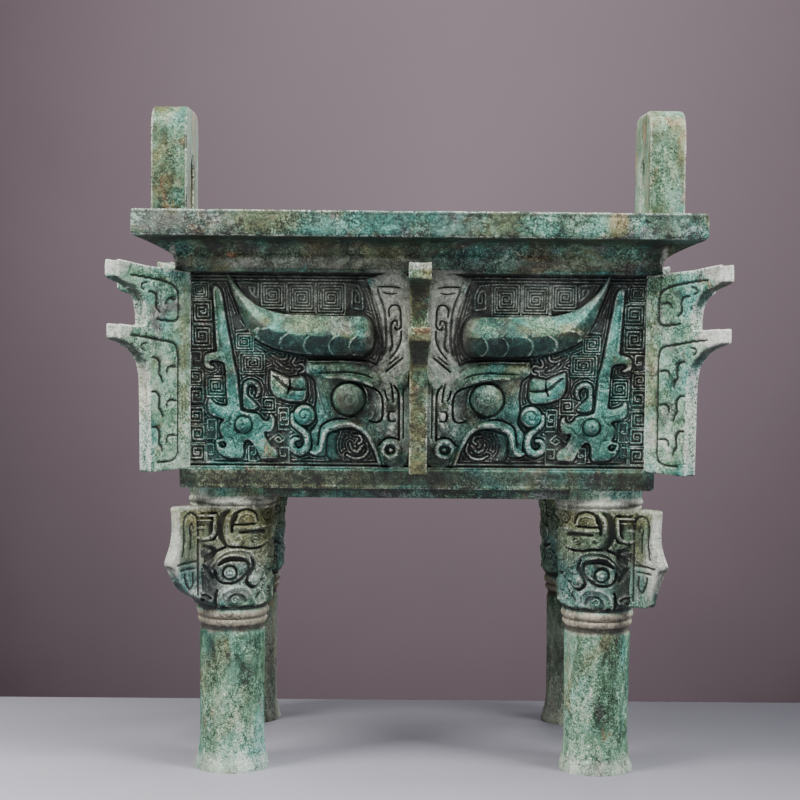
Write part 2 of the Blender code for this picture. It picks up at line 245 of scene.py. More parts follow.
@dataclass
class Relief:
    """Heights in mm over a flat pattern: u runs across from 0, v from low to high.

    No stroke's half width is below thinnest, and foot_slope is the width over which a form's foot
    is softened. A plate is flat, apart from its crown: a share of its height that it gains over
    the first few mm from its edge. Ground is bare where it is below the form level.
    """

    width: float
    low: float
    high: float
    step: float
    squeeze: float = 1.0
    thinnest: float = 0.12
    foot_slope: float = 0.45
    crown: float = 0.2
    crown_reach: float = 3.6
    form_level: float = 0.55
    u: Array = field(init=False)
    v: Array = field(init=False)
    height: Array = field(init=False)
    shade: Array = field(init=False)

    def __post_init__(self) -> None:
        """Lays out the samples, all at height 0 and in no shade of their own."""
        columns = int(round(self.width / self.step)) + 1
        rows = int(round((self.high - self.low) / self.step)) + 1
        self.u, self.v = np.meshgrid(
            np.linspace(0, self.width, columns), np.linspace(self.low, self.high, rows)
        )
        self.height = np.zeros(self.u.shape)
        self.shade = np.zeros(self.u.shape)

    def window(self, shape: Array, margin: float) -> Window:
        """Finds the rows and columns that a shape can touch.

        Args:
            shape: rows of u and v, mm.
            margin: how far round the shape to look, mm.

        Returns:
            The window of samples.
        """
        low, high = shape[:, :2].min(axis=0) - margin, shape[:, :2].max(axis=0) + margin
        columns = np.searchsorted(self.u[0], (low[0], high[0]))
        rows = np.searchsorted(self.v[:, 0], (low[1], high[1]))
        return tuple(slice(max(first - 1, 0), last + 1) for first, last in (rows, columns))

    def roughness(self, wavelength: float, seed: int) -> Array:
        """A waviness over the whole sheet."""
        cloud = coords(self.u, self.v, 0.0).reshape(-1, 3)
        return waviness(cloud, wavelength, seed).reshape(self.u.shape)

    def stroke(self, points: Points) -> tuple[Window, StrokeField]:
        """The samples near a drawn stroke, and their places in it.

        Args:
            points: rows of u, v and half width, mm.

        Returns:
            The window and the stroke's field in it.
        """
        path = curve_through(squeezed(points, self.squeeze))
        path[:, 2] = np.maximum(path[:, 2], self.thinnest)
        window = self.window(path, float(path[:, 2].max()) + 1.2)
        return window, measure_stroke(self.u[window], self.v[window], path)

    def depth_in(self, outline: Points) -> tuple[Window, Array]:
        """Measures how far inside an outline the samples near it are.

        Args:
            outline: its points, which it passes in curves.

        Returns:
            The window and the depths in it, mm, negative outside.
        """
        shape = curve_through(squeezed(outline, self.squeeze), closed=True)
        window = self.window(shape, 0.5)
        return window, measure_outline(self.u[window], self.v[window], shape)

    def lift(self, window: Window, top: Array) -> None:
        """Lifts the sheet to a surface where that is higher."""
        self.height[window] = np.maximum(self.height[window], top)

    def raise_stroke(self, points: Points, height: float) -> None:
        """Lifts the sheet to a stroke that is half an ellipse across.

        Args:
            points: rows of u, v and half width, mm.
            height: its crest above the ground, mm.
        """
        window, at = self.stroke(points)
        foot = smoothstep(at.inside / self.foot_slope + 0.5)
        self.lift(window, height * rounded(at.across) * foot)

    def add_stroke(self, points: Points, height: float) -> None:
        """Adds a rounded line onto whatever is there, or cuts it where height is negative."""
        window, at = self.stroke(points)
        self.height[window] += height * (rounded(at.across) * (at.inside > 0))

    def cut_strokes(self, strokes: Sequence[Points], depth: float) -> None:
        """Cuts a round-bottomed groove along each stroke."""
        for points in strokes:
            self.add_stroke(points, -depth)

    def plate(self, outline: Points, height: float, slope: float = 0.8) -> None:
        """Lifts the sheet to a plate with sloping edges and a slight crown.

        Its top is height ((1 - crown) s(d / slope) + crown s(d / crown_reach)), where d is how far
        inside it a sample lies and s is the smooth step.

        Args:
            outline: rows of u and v, mm.
            height: its top, mm.
            slope: the width of its sloping edge, mm.
        """
        window, inside = self.depth_in(outline)
        flat, crown = smoothstep(inside / slope), smoothstep(inside / self.crown_reach)
        self.lift(window, height * ((1 - self.crown) * flat + self.crown * crown))

    def sink(self, outline: Points, height: float, slope: float = 0.8) -> None:
        """Lowers everything inside a curved outline, with sloping sides.

        Args:
            outline: its points.
            height: what it is lowered to, mm.
            slope: the width of its sides, mm.
        """
        window, inside = self.depth_in(outline)
        here = self.height[window]
        self.height[window] = np.minimum(here, here + (height - here) * smoothstep(inside / slope))

    def dome(self, centre: Sequence[float], radius: float, height: float, foot: float = 0.0) -> None:
        """Lifts half an ellipsoid: foot + (height - foot) sqrt(1 - (r / radius)^2).

        Args:
            centre: its u and v, mm.
            radius: its radius, mm.
            height: its top, mm.
            foot: its height at the rim, mm.
        """
        window, r = self.radial(centre, radius)
        top = foot + (height - foot) * rounded(r / radius)
        self.lift(window, top * smoothstep((radius - r) / self.foot_slope + 0.5))

    def ring(self, centre: Sequence[float], radius: float, half: float, height: float) -> None:
        """Adds a ring with a round section, or cuts one where height is negative.

        Args:
            centre: its u and v, mm.
            radius: the radius of its middle line, mm.
            half: its half width, mm.
            height: its height or, below 0, its depth, mm.
        """
        window, r = self.radial(centre, radius + half)
        self.height[window] += height * rounded((r - radius) / half)

    def radial(self, centre: Sequence[float], reach: float) -> tuple[Window, Array]:
        """Measures how far the samples round a centre are from it.

        Args:
            centre: u and v, mm.
            reach: how far to look, mm.

        Returns:
            The window and the distances in it, mm.
        """
        middle = squeezed([centre], self.squeeze)
        window = self.window(middle, reach + 0.6)
        return window, np.hypot(self.u[window] - middle[0, 0], self.v[window] - middle[0, 1])

    def curl(
        self, centre: Sequence[float], radius: float, start: float, turns: float, half: float
    ) -> Array:
        """A spiral's points, for a stroke: the radius shrinks evenly with the angle.

        Args:
            centre: its u and v, mm.
            radius: its outer radius, mm.
            start: the angle it starts at, degrees.
            turns: how many turns it makes; negative runs clockwise.
            half: its half width at the outside, mm.

        Returns:
            Rows of u, v and half width.
        """
        share = np.linspace(0.0, 1.0, int(abs(turns) * 10) + 2)
        angle = np.radians(start) + 2 * np.pi * turns * share
        reach = radius * (1.0 - 0.82 * share)
        u = centre[0] + reach * np.cos(angle) / self.squeeze
        v = centre[1] + reach * np.sin(angle)
        return coords(u, v, half * (1.0 - 0.3 * share))

    def read(self, sheet: Array, u: Array, v: Array) -> Array:
        """A sheet's values between its samples, by bilinear mixing.

        Args:
            sheet: an array of the same shape as the heights.
            u, v: where to read it, mm.

        Returns:
            The values.
        """
        rows, columns = sheet.shape
        x = np.clip(u / self.width * (columns - 1), 0, columns - 1.001)
        y = np.clip((v - self.low) / (self.high - self.low) * (rows - 1), 0, rows - 1.001)
        i, j = x.astype(int), y.astype(int)
        s, t = x - i, y - j
        lower, upper = (sheet[k, i] * (1 - s) + sheet[k, i + 1] * s for k in (j, j + 1))
        return lower * (1 - t) + upper * t

    def away_from(self, taken: Array, reach: float) -> Array:
        """How far each sample is from the nearest taken one, mm, up to a reach.

        Each pass takes the least of a sample's own distance and its neighbours' plus one step, or
        plus a diagonal one.

        Args:
            taken: which samples are taken.
            reach: how far to measure, mm.

        Returns:
            The distances.
        """
        far = np.where(taken, 0.0, 1e3)
        for _ in range(int(reach / self.step) + 1):
            edged = np.pad(far, 1, constant_values=1e3)
            for down, along in np.ndindex(3, 3):
                moved = edged[down : down + far.shape[0], along : along + far.shape[1]]
                far = np.minimum(far, moved + np.hypot(down - 1, along - 1))
        return far * self.step

    def fill_lines(self, boxes: Points, start: float, pitch: float, height: float) -> None:
        """Fills the bare ground with thin ridges that follow the forms, up to four beside each.

        Args:
            boxes: middles and half sizes of the places that are left free.
            start: the first ridge's distance from a form, mm.
            pitch: the distance between ridges, mm.
            height: their height, mm.
        """
        far = self.away_from(self.height > self.form_level, start + 4 * pitch)
        ridge = smoothstep(1.25 - np.abs((far - start + pitch / 2) % pitch - pitch / 2) / 0.36)
        ridge *= (far > start - pitch / 2) & (far < start + 3.5 * pitch)
        for u, v, half_u, half_v in boxes:
            half_u = half_u * self.squeeze + 0.7
            beside = np.abs(self.u - u * self.squeeze) < half_u
            ridge *= ~(beside & (np.abs(self.v - v) < half_v + 0.7))
        self.height = np.maximum(self.height, height * ridge)

    def wear(self, full: float, ground: float = 0.0) -> tuple[Array, Array, Array]:
        """The sheets that drive the patina.

        A raised form shows by its height. A hollow lies below the sheet blurred by 2.6 mm or near
        the ground, and an edge stands above the sheet blurred by 0.75 mm. The sheet's painted shade
        counts as hollow too.

        Args:
            full: the height that counts as fully raised, mm.
            ground: how hollow the bare ground counts, from 0 to 1.

        Returns:
            Sheets of relief, hollow and edge, each from 0 to 1.
        """
        wide = blurred(self.height, 2.6 / self.step)
        near = blurred(self.height, 0.75 / self.step)
        relief = smoothstep(self.height / full)
        hollow = smoothstep((wide - self.height) / 1.7 + 0.08)
        hollow = np.maximum(hollow, ground * smoothstep(1.2 - self.height / 0.8))
        hollow = np.maximum(hollow, self.shade)
        edge = smoothstep((near - self.height) / -0.42)
        return relief, hollow, edge

    def skin(self, depth: Array, sheets: Sequence[Array], triangles: int) -> Skin:
        """The sheet as a skin with fewer triangles, kept where the surface bends.

        The sheet is thinned by a Decimate modifier, and the sheets that drive the patina are read
        again at the points that are left.

        Args:
            depth: how far out each sample lies, mm.
            sheets: relief, hollow and edge.
            triangles: about how many to keep.

        Returns:
            The skin, all in triangles, its columns being u, v and depth.
        """
        cloud = coords(self.u, self.v, depth).reshape(-1, 3)
        full = Skin.plain(cloud, [grid_faces(*self.u.shape)])
        thin = bpy.data.objects.new("thin", full.to_mesh("thin", 1.0))
        bpy.context.scene.collection.objects.link(thin)
        modifier = thin.modifiers.new("thin", "DECIMATE")
        modifier.ratio = min(1.0, triangles / full.triangles())
        evaluated = thin.evaluated_get(bpy.context.evaluated_depsgraph_get())
        mesh = evaluated.to_mesh()
        mesh.calc_loop_triangles()
        points = np.empty(len(mesh.vertices) * 3, np.float32)
        mesh.vertices.foreach_get("co", points)
        corners = np.empty(len(mesh.loop_triangles) * 3, np.int32)
        mesh.loop_triangles.foreach_get("vertices", corners)
        evaluated.to_mesh_clear()
        data = thin.data
        bpy.data.objects.remove(thin)
        bpy.data.meshes.remove(data)
        points = points.reshape(-1, 3).astype(float)
        values = (self.read(sheet, points[:, 0], points[:, 1]) for sheet in sheets)
        return Skin(points, [corners.reshape(-1, 3)], *values)


# ------------------------------------------------------------------------------- meshes as arrays


def grid_faces(rows: int, columns: int, closed: bool = False) -> Array:
    """The four corners of every face of a grid whose points run row by row.

    Args:
        rows, columns: the grid's size.
        closed: whether the last column joins the first.

    Returns:
        One row of four indices for each face.
    """
    index = np.arange(rows * columns).reshape(rows, columns)
    index = np.hstack([index, index[:, :1]]) if closed else index
    corners = (index[:-1, :-1], index[:-1, 1:], index[1:, 1:], index[1:, :-1])
    return np.stack(corners, axis=-1).reshape(-1, 4)


@dataclass
class Skin:
    """A mesh as arrays, in mm, with the three values at each point that drive its patina."""

    points: Array
    faces: list[Array]
    relief: Array
    hollow: Array
    edge: Array

    @classmethod
    def plain(cls, points: Array, faces: list[Array], wear: Sequence[float] = (0, 0, 0)) -> Skin:
        """A skin with the same three values everywhere."""
        return cls(points, faces, *(np.full(len(points), float(value)) for value in wear))

    def triangles(self) -> int:
        """How many triangles its faces make."""
        return sum(len(group) * (group.shape[1] - 2) for group in self.faces)

    def placed(self, place: Place, flip: bool = False) -> Skin:
        """The skin with its points moved.

        Args:
            place: turns the three columns of points into new points.
            flip: whether the move mirrors it, so that its faces have to be turned round.

        Returns:
            The moved skin.
        """
        points = place(self.points[:, 0], self.points[:, 1], self.points[:, 2])
        faces = [group[:, ::-1] for group in self.faces] if flip else self.faces
        return Skin(points, faces, self.relief, self.hollow, self.edge)

    def joined(self, *others: Skin) -> Skin:
        """Joins this skin and others.

        Args:
            others: the skins that follow.

        Returns:
            One skin with all their points and faces.
        """
        skins = (self, *others)
        starts = np.cumsum([0, *(len(skin.points) for skin in skins[:-1])])
        faces = [group + start for skin, start in zip(skins, starts) for group in skin.faces]
        columns = (
            np.concatenate([getattr(skin, name) for skin in skins])
            for name in ("relief", "hollow", "edge")
        )
        return Skin(np.vstack([skin.points for skin in skins]), faces, *columns)

    def to_mesh(self, name: str, scale: float = MM) -> bpy.types.Mesh:
        """Writes the arrays into a smooth-shaded mesh.

        Args:
            name: the mesh's name.
            scale: metres for each unit of the points.

        Returns:
            The mesh.
        """
        mesh = bpy.data.meshes.new(name)
        mesh.vertices.add(len(self.points))
        mesh.vertices.foreach_set("co", (self.points * scale).astype(np.float32).ravel())
        sizes = np.concatenate([np.full(len(group), group.shape[1]) for group in self.faces])
        mesh.loops.add(int(sizes.sum()))
        corners = np.concatenate([group.ravel() for group in self.faces])
        mesh.loops.foreach_set("vertex_index", corners.astype(np.int32))
        mesh.polygons.add(len(sizes))
        starts = np.concatenate([[0], np.cumsum(sizes)[:-1]])
        mesh.polygons.foreach_set("loop_start", starts.astype(np.int32))
        mesh.polygons.foreach_set("use_smooth", np.ones(len(sizes), bool))
        mesh.update(calc_edges=True)
        for column in ("relief", "hollow", "edge"):
            layer = mesh.attributes.new(column, "FLOAT", "POINT")
            layer.data.foreach_set("value", getattr(self, column).astype(np.float32))
        return mesh

    def build(self, name: str, finish: bpy.types.Material) -> bpy.types.Object:
        """Makes the skin a piece of the ding, riding with it.

        Args:
            name: the piece's name.
            finish: its material.

        Returns:
            The piece.
        """
        mesh = self.to_mesh(name)
        mesh.materials.append(finish)
        piece = bpy.data.objects.new(name, mesh)
        bpy.context.scene.collection.objects.link(piece)
        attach(piece, BODY)
        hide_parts(NODE)
        LOG.info("%s: %d triangles", name, self.triangles())
        return piece


# ------------------------------------------------------------------------------------- the patina


@dataclass(frozen=True)
class Nodes:
    """Shorthand for wiring a material's nodes."""

    tree: bpy.types.NodeTree

    def add(self, kind: str, **settings: object) -> bpy.types.Node:
        """Adds a node.

        Args:
            kind: its type.
            settings: what is set on it, by name.

        Returns:
            The node.
        """
        node = self.tree.nodes.new(kind)
        for name, value in settings.items():
            setattr(node, name, value)
        return node

    def feed(self, socket: Socket, value: object) -> None:
        """Links a socket, or sets its value.

        Args:
            socket: an input.
            value: an output to link, or a value to set.
        """
        if isinstance(value, Socket):
            self.tree.links.new(value, socket)
        else:
            socket.default_value = value

    def maths(self, operation: str, *values: object) -> Socket:
        """Adds a Math node.

        Args:
            operation: what it works out.
            values: its inputs in order.

        Returns:
            Its result.
        """
        node = self.add("ShaderNodeMath", operation=operation)
        for socket, value in zip(node.inputs, values):
            self.feed(socket, value)
        return node.outputs[0]

    def scaled(self, value: object, by: object, *plus: object) -> Socket:
        """A value times another, with a third added where one is given."""
        return self.maths("MULTIPLY_ADD" if plus else "MULTIPLY", value, by, *plus)

    def span(self, value: object, low: float, high: float) -> Socket:
        """A smooth step from 0 to 1.

        Args:
            value: what is measured.
            low: where it gives 0.
            high: where it gives 1. It may be below low.

        Returns:
            The step.
        """
        node = self.add("ShaderNodeMapRange", interpolation_type="SMOOTHSTEP")
        for name, setting in (("Value", value), ("From Min", low), ("From Max", high)):
            self.feed(node.inputs[name], setting)
        return node.outputs[0]

    def noise(
        self, where: object, scale: float, detail: float = 3.0, rough: float = 0.55, warp: float = 0.0
    ) -> Socket:
        """Noise between 0 and 1.

        Args:
            where: the coordinates.
            scale: bumps in a metre.
            detail: how many finer layers it has.
            rough: how strong they are.
            warp: how far it is bent by itself.

        Returns:
            The value's socket.
        """
        node = self.add("ShaderNodeTexNoise")
        names = ("Vector", "Scale", "Detail", "Roughness", "Distortion")
        for name, value in zip(names, (where, scale, detail, rough, warp)):
            self.feed(node.inputs[name], value)
        return node.outputs[0]

    def shift(self, where: object, by: float) -> Socket:
        """Moves coordinates along all three axes.

        Args:
            where: the coordinates.
            by: how far, m.

        Returns:
            The moved coordinates.
        """
        node = self.add("ShaderNodeVectorMath", operation="ADD")
        self.feed(node.inputs[0], where)
        node.inputs[1].default_value = (by, by, by)
        return node.outputs[0]

    def away(self, where: object, middle: tuple, reach: tuple) -> Socket:
        """The distance from a point, where each axis is divided by its own reach first.

        Args:
            where: the coordinates.
            middle: the point.
            reach: the three reaches.

        Returns:
            The distance, which is 1 at the reach.
        """
        result = where
        for operation, values in (("SUBTRACT", middle), ("DIVIDE", reach), ("LENGTH", None)):
            node = self.add("ShaderNodeVectorMath", operation=operation)
            self.feed(node.inputs[0], result)
            if values:
                node.inputs[1].default_value = values
                result = node.outputs[0]
        return node.outputs["Value"]

    def cells(self, where: object, scale: float) -> Socket:
        """The distance from the nearest of a set of scattered points.

        Args:
            where: the coordinates.
            scale: how many points there are to a metre.

        Returns:
            The distance as a share of their spacing.
        """
        node = self.add("ShaderNodeTexVoronoi")
        self.feed(node.inputs["Vector"], where)
        self.feed(node.inputs["Scale"], scale)
        return node.outputs["Distance"]

    def mix(self, share: object, first: object, second: object) -> Socket:
        """Mixes two colours.

        Args:
            share: 0 for the first, 1 for the second.
            first: a colour.
            second: a colour.

        Returns:
            The colour between.
        """
        node = self.add("ShaderNodeMix", data_type="RGBA")
        self.feed(node.inputs["Factor"], share)
        self.feed(node.inputs[6], first)
        self.feed(node.inputs[7], second)
        return node.outputs[2]

    def ramp(self, value: object, stops: Stops) -> Socket:
        """Adds a colour ramp.

        Args:
            value: where to read it, from 0 to 1.
            stops: places and colours in order.

        Returns:
            The colour.
        """
        node = self.add("ShaderNodeValToRGB")
        elements = node.color_ramp.elements
        while len(elements) < len(stops):
            elements.new(0.5)
        for element, (place, colour) in zip(elements, stops):
            element.position, element.color = place, colour
        self.feed(node.inputs[0], value)
        return node.outputs[0]

    def attribute(self, name: str) -> Socket:
        """A value that the mesh carries at its points."""
        return self.add("ShaderNodeAttribute", attribute_name=name).outputs["Fac"]


def rgb(red: int, green: int, blue: int) -> tuple[float, float, float, float]:
    """Turns a screen colour into linear light.

    Args:
        red: 0 to 255.
        green: 0 to 255.
        blue: 0 to 255.

    Returns:
        The colour with an alpha of 1.
    """
    share = np.array([red, green, blue]) / 255.0
    linear = np.where(share <= 0.04045, share / 12.92, ((share + 0.055) / 1.055) ** 2.4)
    return (*(float(value) for value in linear), 1.0)


def shades(*rows: tuple[float, int, int, int]) -> Stops:
    """A ramp's stops, from rows of place, red, green and blue."""
    return tuple((place, rgb(*colour)) for place, *colour in rows)


class Layer(Enum):
    """The layers of corrosion."""

    TEAL = "teal"
    OLIVE = "olive"
    ASH = "ash"
    RUST = "rust"
    CHALK = "chalk"
    SOOT = "soot"


TEAL, OLIVE, ASH, RUST, CHALK, SOOT = Layer


@dataclass(frozen=True)
class Stain:
    """A place where one layer gathers: an ellipsoid with a ragged edge, in mm."""

    layer: Layer
    middle: Triple
    reach: Triple
    strength: float = 0.8

    def share(self, n: Nodes, where: object, ragged: object) -> Socket:
        """How much of the layer shows: full inside, none outside, by the distance over the reach.

        Args:
            n: the material's nodes.
            where: the coordinates, m.
            ragged: a noise about 0 that frays the edge.

        Returns:
            The share's socket.
        """
        middle, reach = (tuple(value * MM for value in values) for values in (self.middle, self.reach))
        frayed = n.maths("ADD", n.away(where, middle, reach), ragged)
        return n.scaled(n.span(frayed, 1.15, 0.75), self.strength)


@dataclass(frozen=True)
class Patina:
    """Old bronze: dark metal, green and turquoise corrosion, pale crust and earth stains.

    lift raises the whole surface towards the paler shades, contrast says how strong its mottling
    is, and depth how dark its hollows and its painted shade are. turquoise, olive, mauve, crust
    and ochre say how much of the surface each layer takes, from 0 to 1. ashen is how far low
    ground loses its green, and streak draws the broad patches out along Z where it is below 1.
    """

    name: str
    lift: float = 0.0
    contrast: float = 1.0
    turquoise: float = 0.5
    olive: float = 0.4
    mauve: float = 0.3
    crust: float = 0.35
    ochre: float = 0.1
    ashen: float = 0.0
    depth: float = 0.92
    streak: float = 1.0
    stains: tuple[Stain, ...] = ()
    greens: Stops = shades(
        (0.0, 14, 22, 16), (0.20, 34, 50, 36), (0.38, 66, 102, 76), (0.56, 108, 150, 120),
        (0.76, 164, 194, 168), (1.0, 230, 234, 218),
    )
    blues: Stops = shades(
        (0.0, 8, 30, 26), (0.22, 18, 66, 60), (0.42, 42, 118, 108), (0.60, 92, 166, 154),
        (0.80, 156, 206, 194), (1.0, 214, 232, 222),
    )
    earths: Stops = shades(
        (0.0, 24, 21, 12), (0.30, 66, 62, 36), (0.60, 122, 122, 76), (1.0, 200, 198, 150)
    )
    ashes: Stops = shades(
        (0.0, 22, 22, 20), (0.35, 64, 64, 60), (0.65, 124, 125, 120), (1.0, 212, 212, 206)
    )
    rusts: Stops = shades(
        (0.0, 52, 34, 20), (0.35, 112, 84, 56), (0.65, 178, 146, 108), (1.0, 226, 204, 172)
    )
    pales: Stops = shades(
        (0.0, 70, 76, 66), (0.35, 158, 163, 150), (0.65, 214, 216, 204), (1.0, 245, 245, 238)
    )
    soot: tuple = rgb(17, 20, 17)
    chalk: tuple = rgb(236, 236, 226)

    def build(self) -> bpy.types.Material:
        """Wires the layers.

        One tone runs through the shades of every layer, so that they share their speckle: a sum of
        noises from 30 mm down to 0.7 mm, the finest strong only where the crust is coarse, crossed
        by dark cracks where another noise passes its middle, and paler where the surface faces up,
        which is painted light from above. Broader noises say which layer shows.

        Returns:
            The material.
        """
        material = bpy.data.materials.new(self.name)
        material.use_nodes = True
        n = Nodes(material.node_tree)
        shader = material.node_tree.nodes["Principled BSDF"]
        where = n.add("ShaderNodeTexCoord").outputs["Object"]
        relief, hollow, edge = (n.attribute(name) for name in ("relief", "hollow", "edge"))

        drawn = n.add("ShaderNodeVectorMath", operation="MULTIPLY")
        n.feed(drawn.inputs[0], where)
        drawn.inputs[1].default_value = (1, 1, self.streak)
        broad = drawn.outputs[0]
        patches = n.noise(broad, 36.0, 4.0, 0.6, 0.8)
        blots = n.noise(broad, 140.0, 5.0, 0.68, 0.9)
        grain = n.noise(where, 480.0, 4.0, 0.8, 0.7)
        dust = n.noise(where, 1350.0, 1.0, 0.7)
        coarse = n.span(n.noise(n.shift(where, 4.4), 75.0, 2.0), 0.35, 0.62)
        crack = n.maths("SUBTRACT", n.noise(n.shift(broad, 2.2), 90.0, 5.0, 0.62, 1.4), 0.5)
        crack = n.span(n.maths("ABSOLUTE", crack), 0.03, 0.0)
        # Painted light from above: faces that point up are paler, faces that point down darker
        facing = n.add("ShaderNodeSeparateXYZ")
        n.feed(facing.inputs[0], n.add("ShaderNodeNewGeometry").outputs["Normal"])
        painted_top_light = n.span(facing.outputs["Z"], -0.75, 0.55)
        tone = n.scaled(relief, 0.05, 0.34 + self.lift)
        tone = n.scaled(painted_top_light, 0.12, tone)
        fine = n.scaled(coarse, 0.9, 0.45)
        grain_weight, dust_weight = n.scaled(fine, 1.1), n.scaled(fine, 0.9)
        for noise, weight in (
            (patches, 1.1), (blots, 1.0), (grain, grain_weight), (dust, dust_weight),
        ):
            swing = n.scaled(n.maths("SUBTRACT", noise, 0.5), self.contrast)
            tone = n.scaled(swing, weight, tone)
        tone = n.scaled(crack, -0.14 * self.contrast, tone)
        layers = {
            TEAL: n.ramp(tone, self.blues), OLIVE: n.ramp(tone, self.earths),
            ASH: n.ramp(tone, self.ashes), RUST: n.ramp(tone, self.rusts),
            CHALK: n.ramp(tone, self.pales), SOOT: self.soot,
        }
        body = n.ramp(tone, self.greens)

        # Which layer shows: each has its own broad noise, frayed by a finer one
        near = n.noise(n.shift(broad, 7.7), 95.0, 5.0, 0.68, 0.5)
        for layer, share, by, scale, soft in (
            (TEAL, self.turquoise, 3.1, 30.0, 0.10), (OLIVE, self.olive, 5.3, 52.0, 0.09),
            (ASH, self.mauve, 9.4, 64.0, 0.08), (RUST, self.ochre, 1.7, 80.0, 0.05),
        ):
            first = n.noise(n.shift(broad, by), scale, 4.0, 0.62, 0.8)
            reach = n.scaled(first, 0.7, n.scaled(near, 0.3))
            middle = 0.68 - 0.30 * share
            shown = n.span(reach, middle - soft, middle + soft)
            body = n.mix(n.scaled(shown, 0.92), body, layers[layer])
        if self.ashen:
            ash = n.scaled(n.span(relief, 0.75, 0.1), self.ashen)
            body = n.mix(ash, body, layers[ASH])
        ragged = n.maths("SUBTRACT", n.maths("ADD", near, grain), 1.0)
        ragged = n.scaled(ragged, 1.6)
        for stain in self.stains:
            body = n.mix(stain.share(n, where, ragged), body, layers[stain.layer])

        # The hollows, and the painted shade that the hollow value carries, stay dark; the edges wear
        # pale
        pit = n.scaled(hollow, n.scaled(grain, -0.7, 1.35))
        body = n.mix(n.scaled(n.span(pit, 0.10, 0.85), self.depth), body, self.soot)
        worn = n.scaled(edge, 0.55, n.scaled(blots, 0.55))
        worn = n.scaled(grain, 0.6, worn)
        pale = n.span(worn, 1.10 - 0.40 * self.crust, 1.30 - 0.40 * self.crust)
        pale = n.scaled(pale, n.scaled(hollow, -0.8, 1.0))
        share = n.scaled(pale, 0.85)
        body = n.mix(share, body, n.mix(n.span(dust, 0.35, 0.6), body, self.chalk))
        n.feed(shader.inputs["Base Color"], body)
        shader.inputs["Metallic"].default_value = 0.1
        rough = n.scaled(pale, 0.2, n.scaled(blots, 0.35, 0.34))
        n.feed(shader.inputs["Roughness"], rough)
        shader.inputs["Specular IOR Level"].default_value = 0.5

        # Cast skin: soft lumps, grains and pits
        pits = n.span(n.cells(where, 380.0), 0.28, 0.05)
        skin = n.scaled(blots, 1.0, n.scaled(grain, 0.8))
        skin = n.maths("SUBTRACT", n.scaled(pale, 0.3, skin), n.scaled(pits, 0.5))
        bump = n.add("ShaderNodeBump")
        bump.inputs["Strength"].default_value = 0.8
        bump.inputs["Distance"].default_value = 0.0008
        n.feed(bump.inputs["Height"], skin)
        n.feed(shader.inputs["Normal"], bump.outputs[0])
        return material


# ------------------------------------------------------------------------------ the vessel's sizes


@dataclass(frozen=True)
class Sizes:
    """The sizes that the pieces share, mm."""

    lip_length: float = 125.0
    lip_width: float = 90.0
    rim_top: float = 253.0
    lip_bottom: float = 241.5
    neck: float = 233.5
    overhang: float = 17.2
    bottom: float = 130.0
    taper: float = 2.3
    base: float = 125.0
    base_inset: float = 9.0
    mouth_length: float = 102.0
    mouth_width: float = 67.0
    panel_foot: float = 140.8
    panel_scale: float = 0.992
    panel_sunk: float = 2.0
    middle: float = 181.75
    leg_x: float = 83.4
    leg_y: float = 48.3

    def half_length(self, z: Array | float) -> Array | float:
        """Half the vessel's length at a height: its walls lean out evenly."""
        lean = self.taper * (self.neck - z) / (self.neck - self.bottom)
        return self.lip_length - self.overhang - lean

    def half_width(self, z: Array | float) -> Array | float:
        """Half the vessel's width at a height."""
        return self.half_length(z) - (self.lip_length - self.lip_width)


SIZES = Sizes()
CORNERS = (
    ("front_left", -1, -1, -135), ("front_right", 1, -1, -45),
    ("back_right", 1, 1, 45), ("back_left", -1, 1, 135),
)


def turned(points: Array, degrees: float) -> Array:
    """Turns points about the vertical axis.

    Args:
        points: rows of x, y and z, mm.
        degrees: the turn, anticlockwise from above.

    Returns:
        The turned points.
    """
    c, s = np.cos(np.radians(degrees)), np.sin(np.radians(degrees))
    x, y, z = points.T
    return coords(x * c - y * s, x * s + y * c, z)


class Side(Enum):
    """The vessel's four sides, by the turn that brings the front there, in degrees."""

    FRONT = 0
    RIGHT = 90
    BACK = 180
    LEFT = 270

    @property
    def is_long(self) -> bool:
        """Whether it is a long side."""
        return self in (Side.FRONT, Side.BACK)

    def panel(self, hand: int, width: float) -> Place:
        """How a flat half panel is bent onto this side.

        u runs from the side's middle to its corner, v up, and h out from the sunk ground.

        Args:
            hand: 1 for the right half, -1 for the left.
            width: the panel's flat width, mm.

        Returns:
            The move.
        """
        spread, wall = SIZES.half_length, SIZES.half_width
        if not self.is_long:
            spread, wall = wall, spread

        def place(u: Array, v: Array, h: Array) -> Array:
            """Bends flat points onto the leaning wall, then turns them to the side.

            Args:
                u: the distance from the flange towards the corner.
                v: the height in the panel.
                h: how far out of the panel.

            Returns:
                The points in space.
            """
            z = SIZES.panel_foot + SIZES.panel_scale * v
            out = wall(z) + h - SIZES.panel_sunk
            points = turned(coords(hand * u * spread(z) / width, -out, z), self.value)
            drift = 0.14 * waviness(points, 24.0, 3 + self.value)
            heading = turned(np.array([[0.0, -1.0, 0.0]]), self.value)
            return points + heading * (drift * smoothstep((width - u) / 4.0))[:, None]

        return place


# --------------------------------------------------------------------------- the ornamented walls


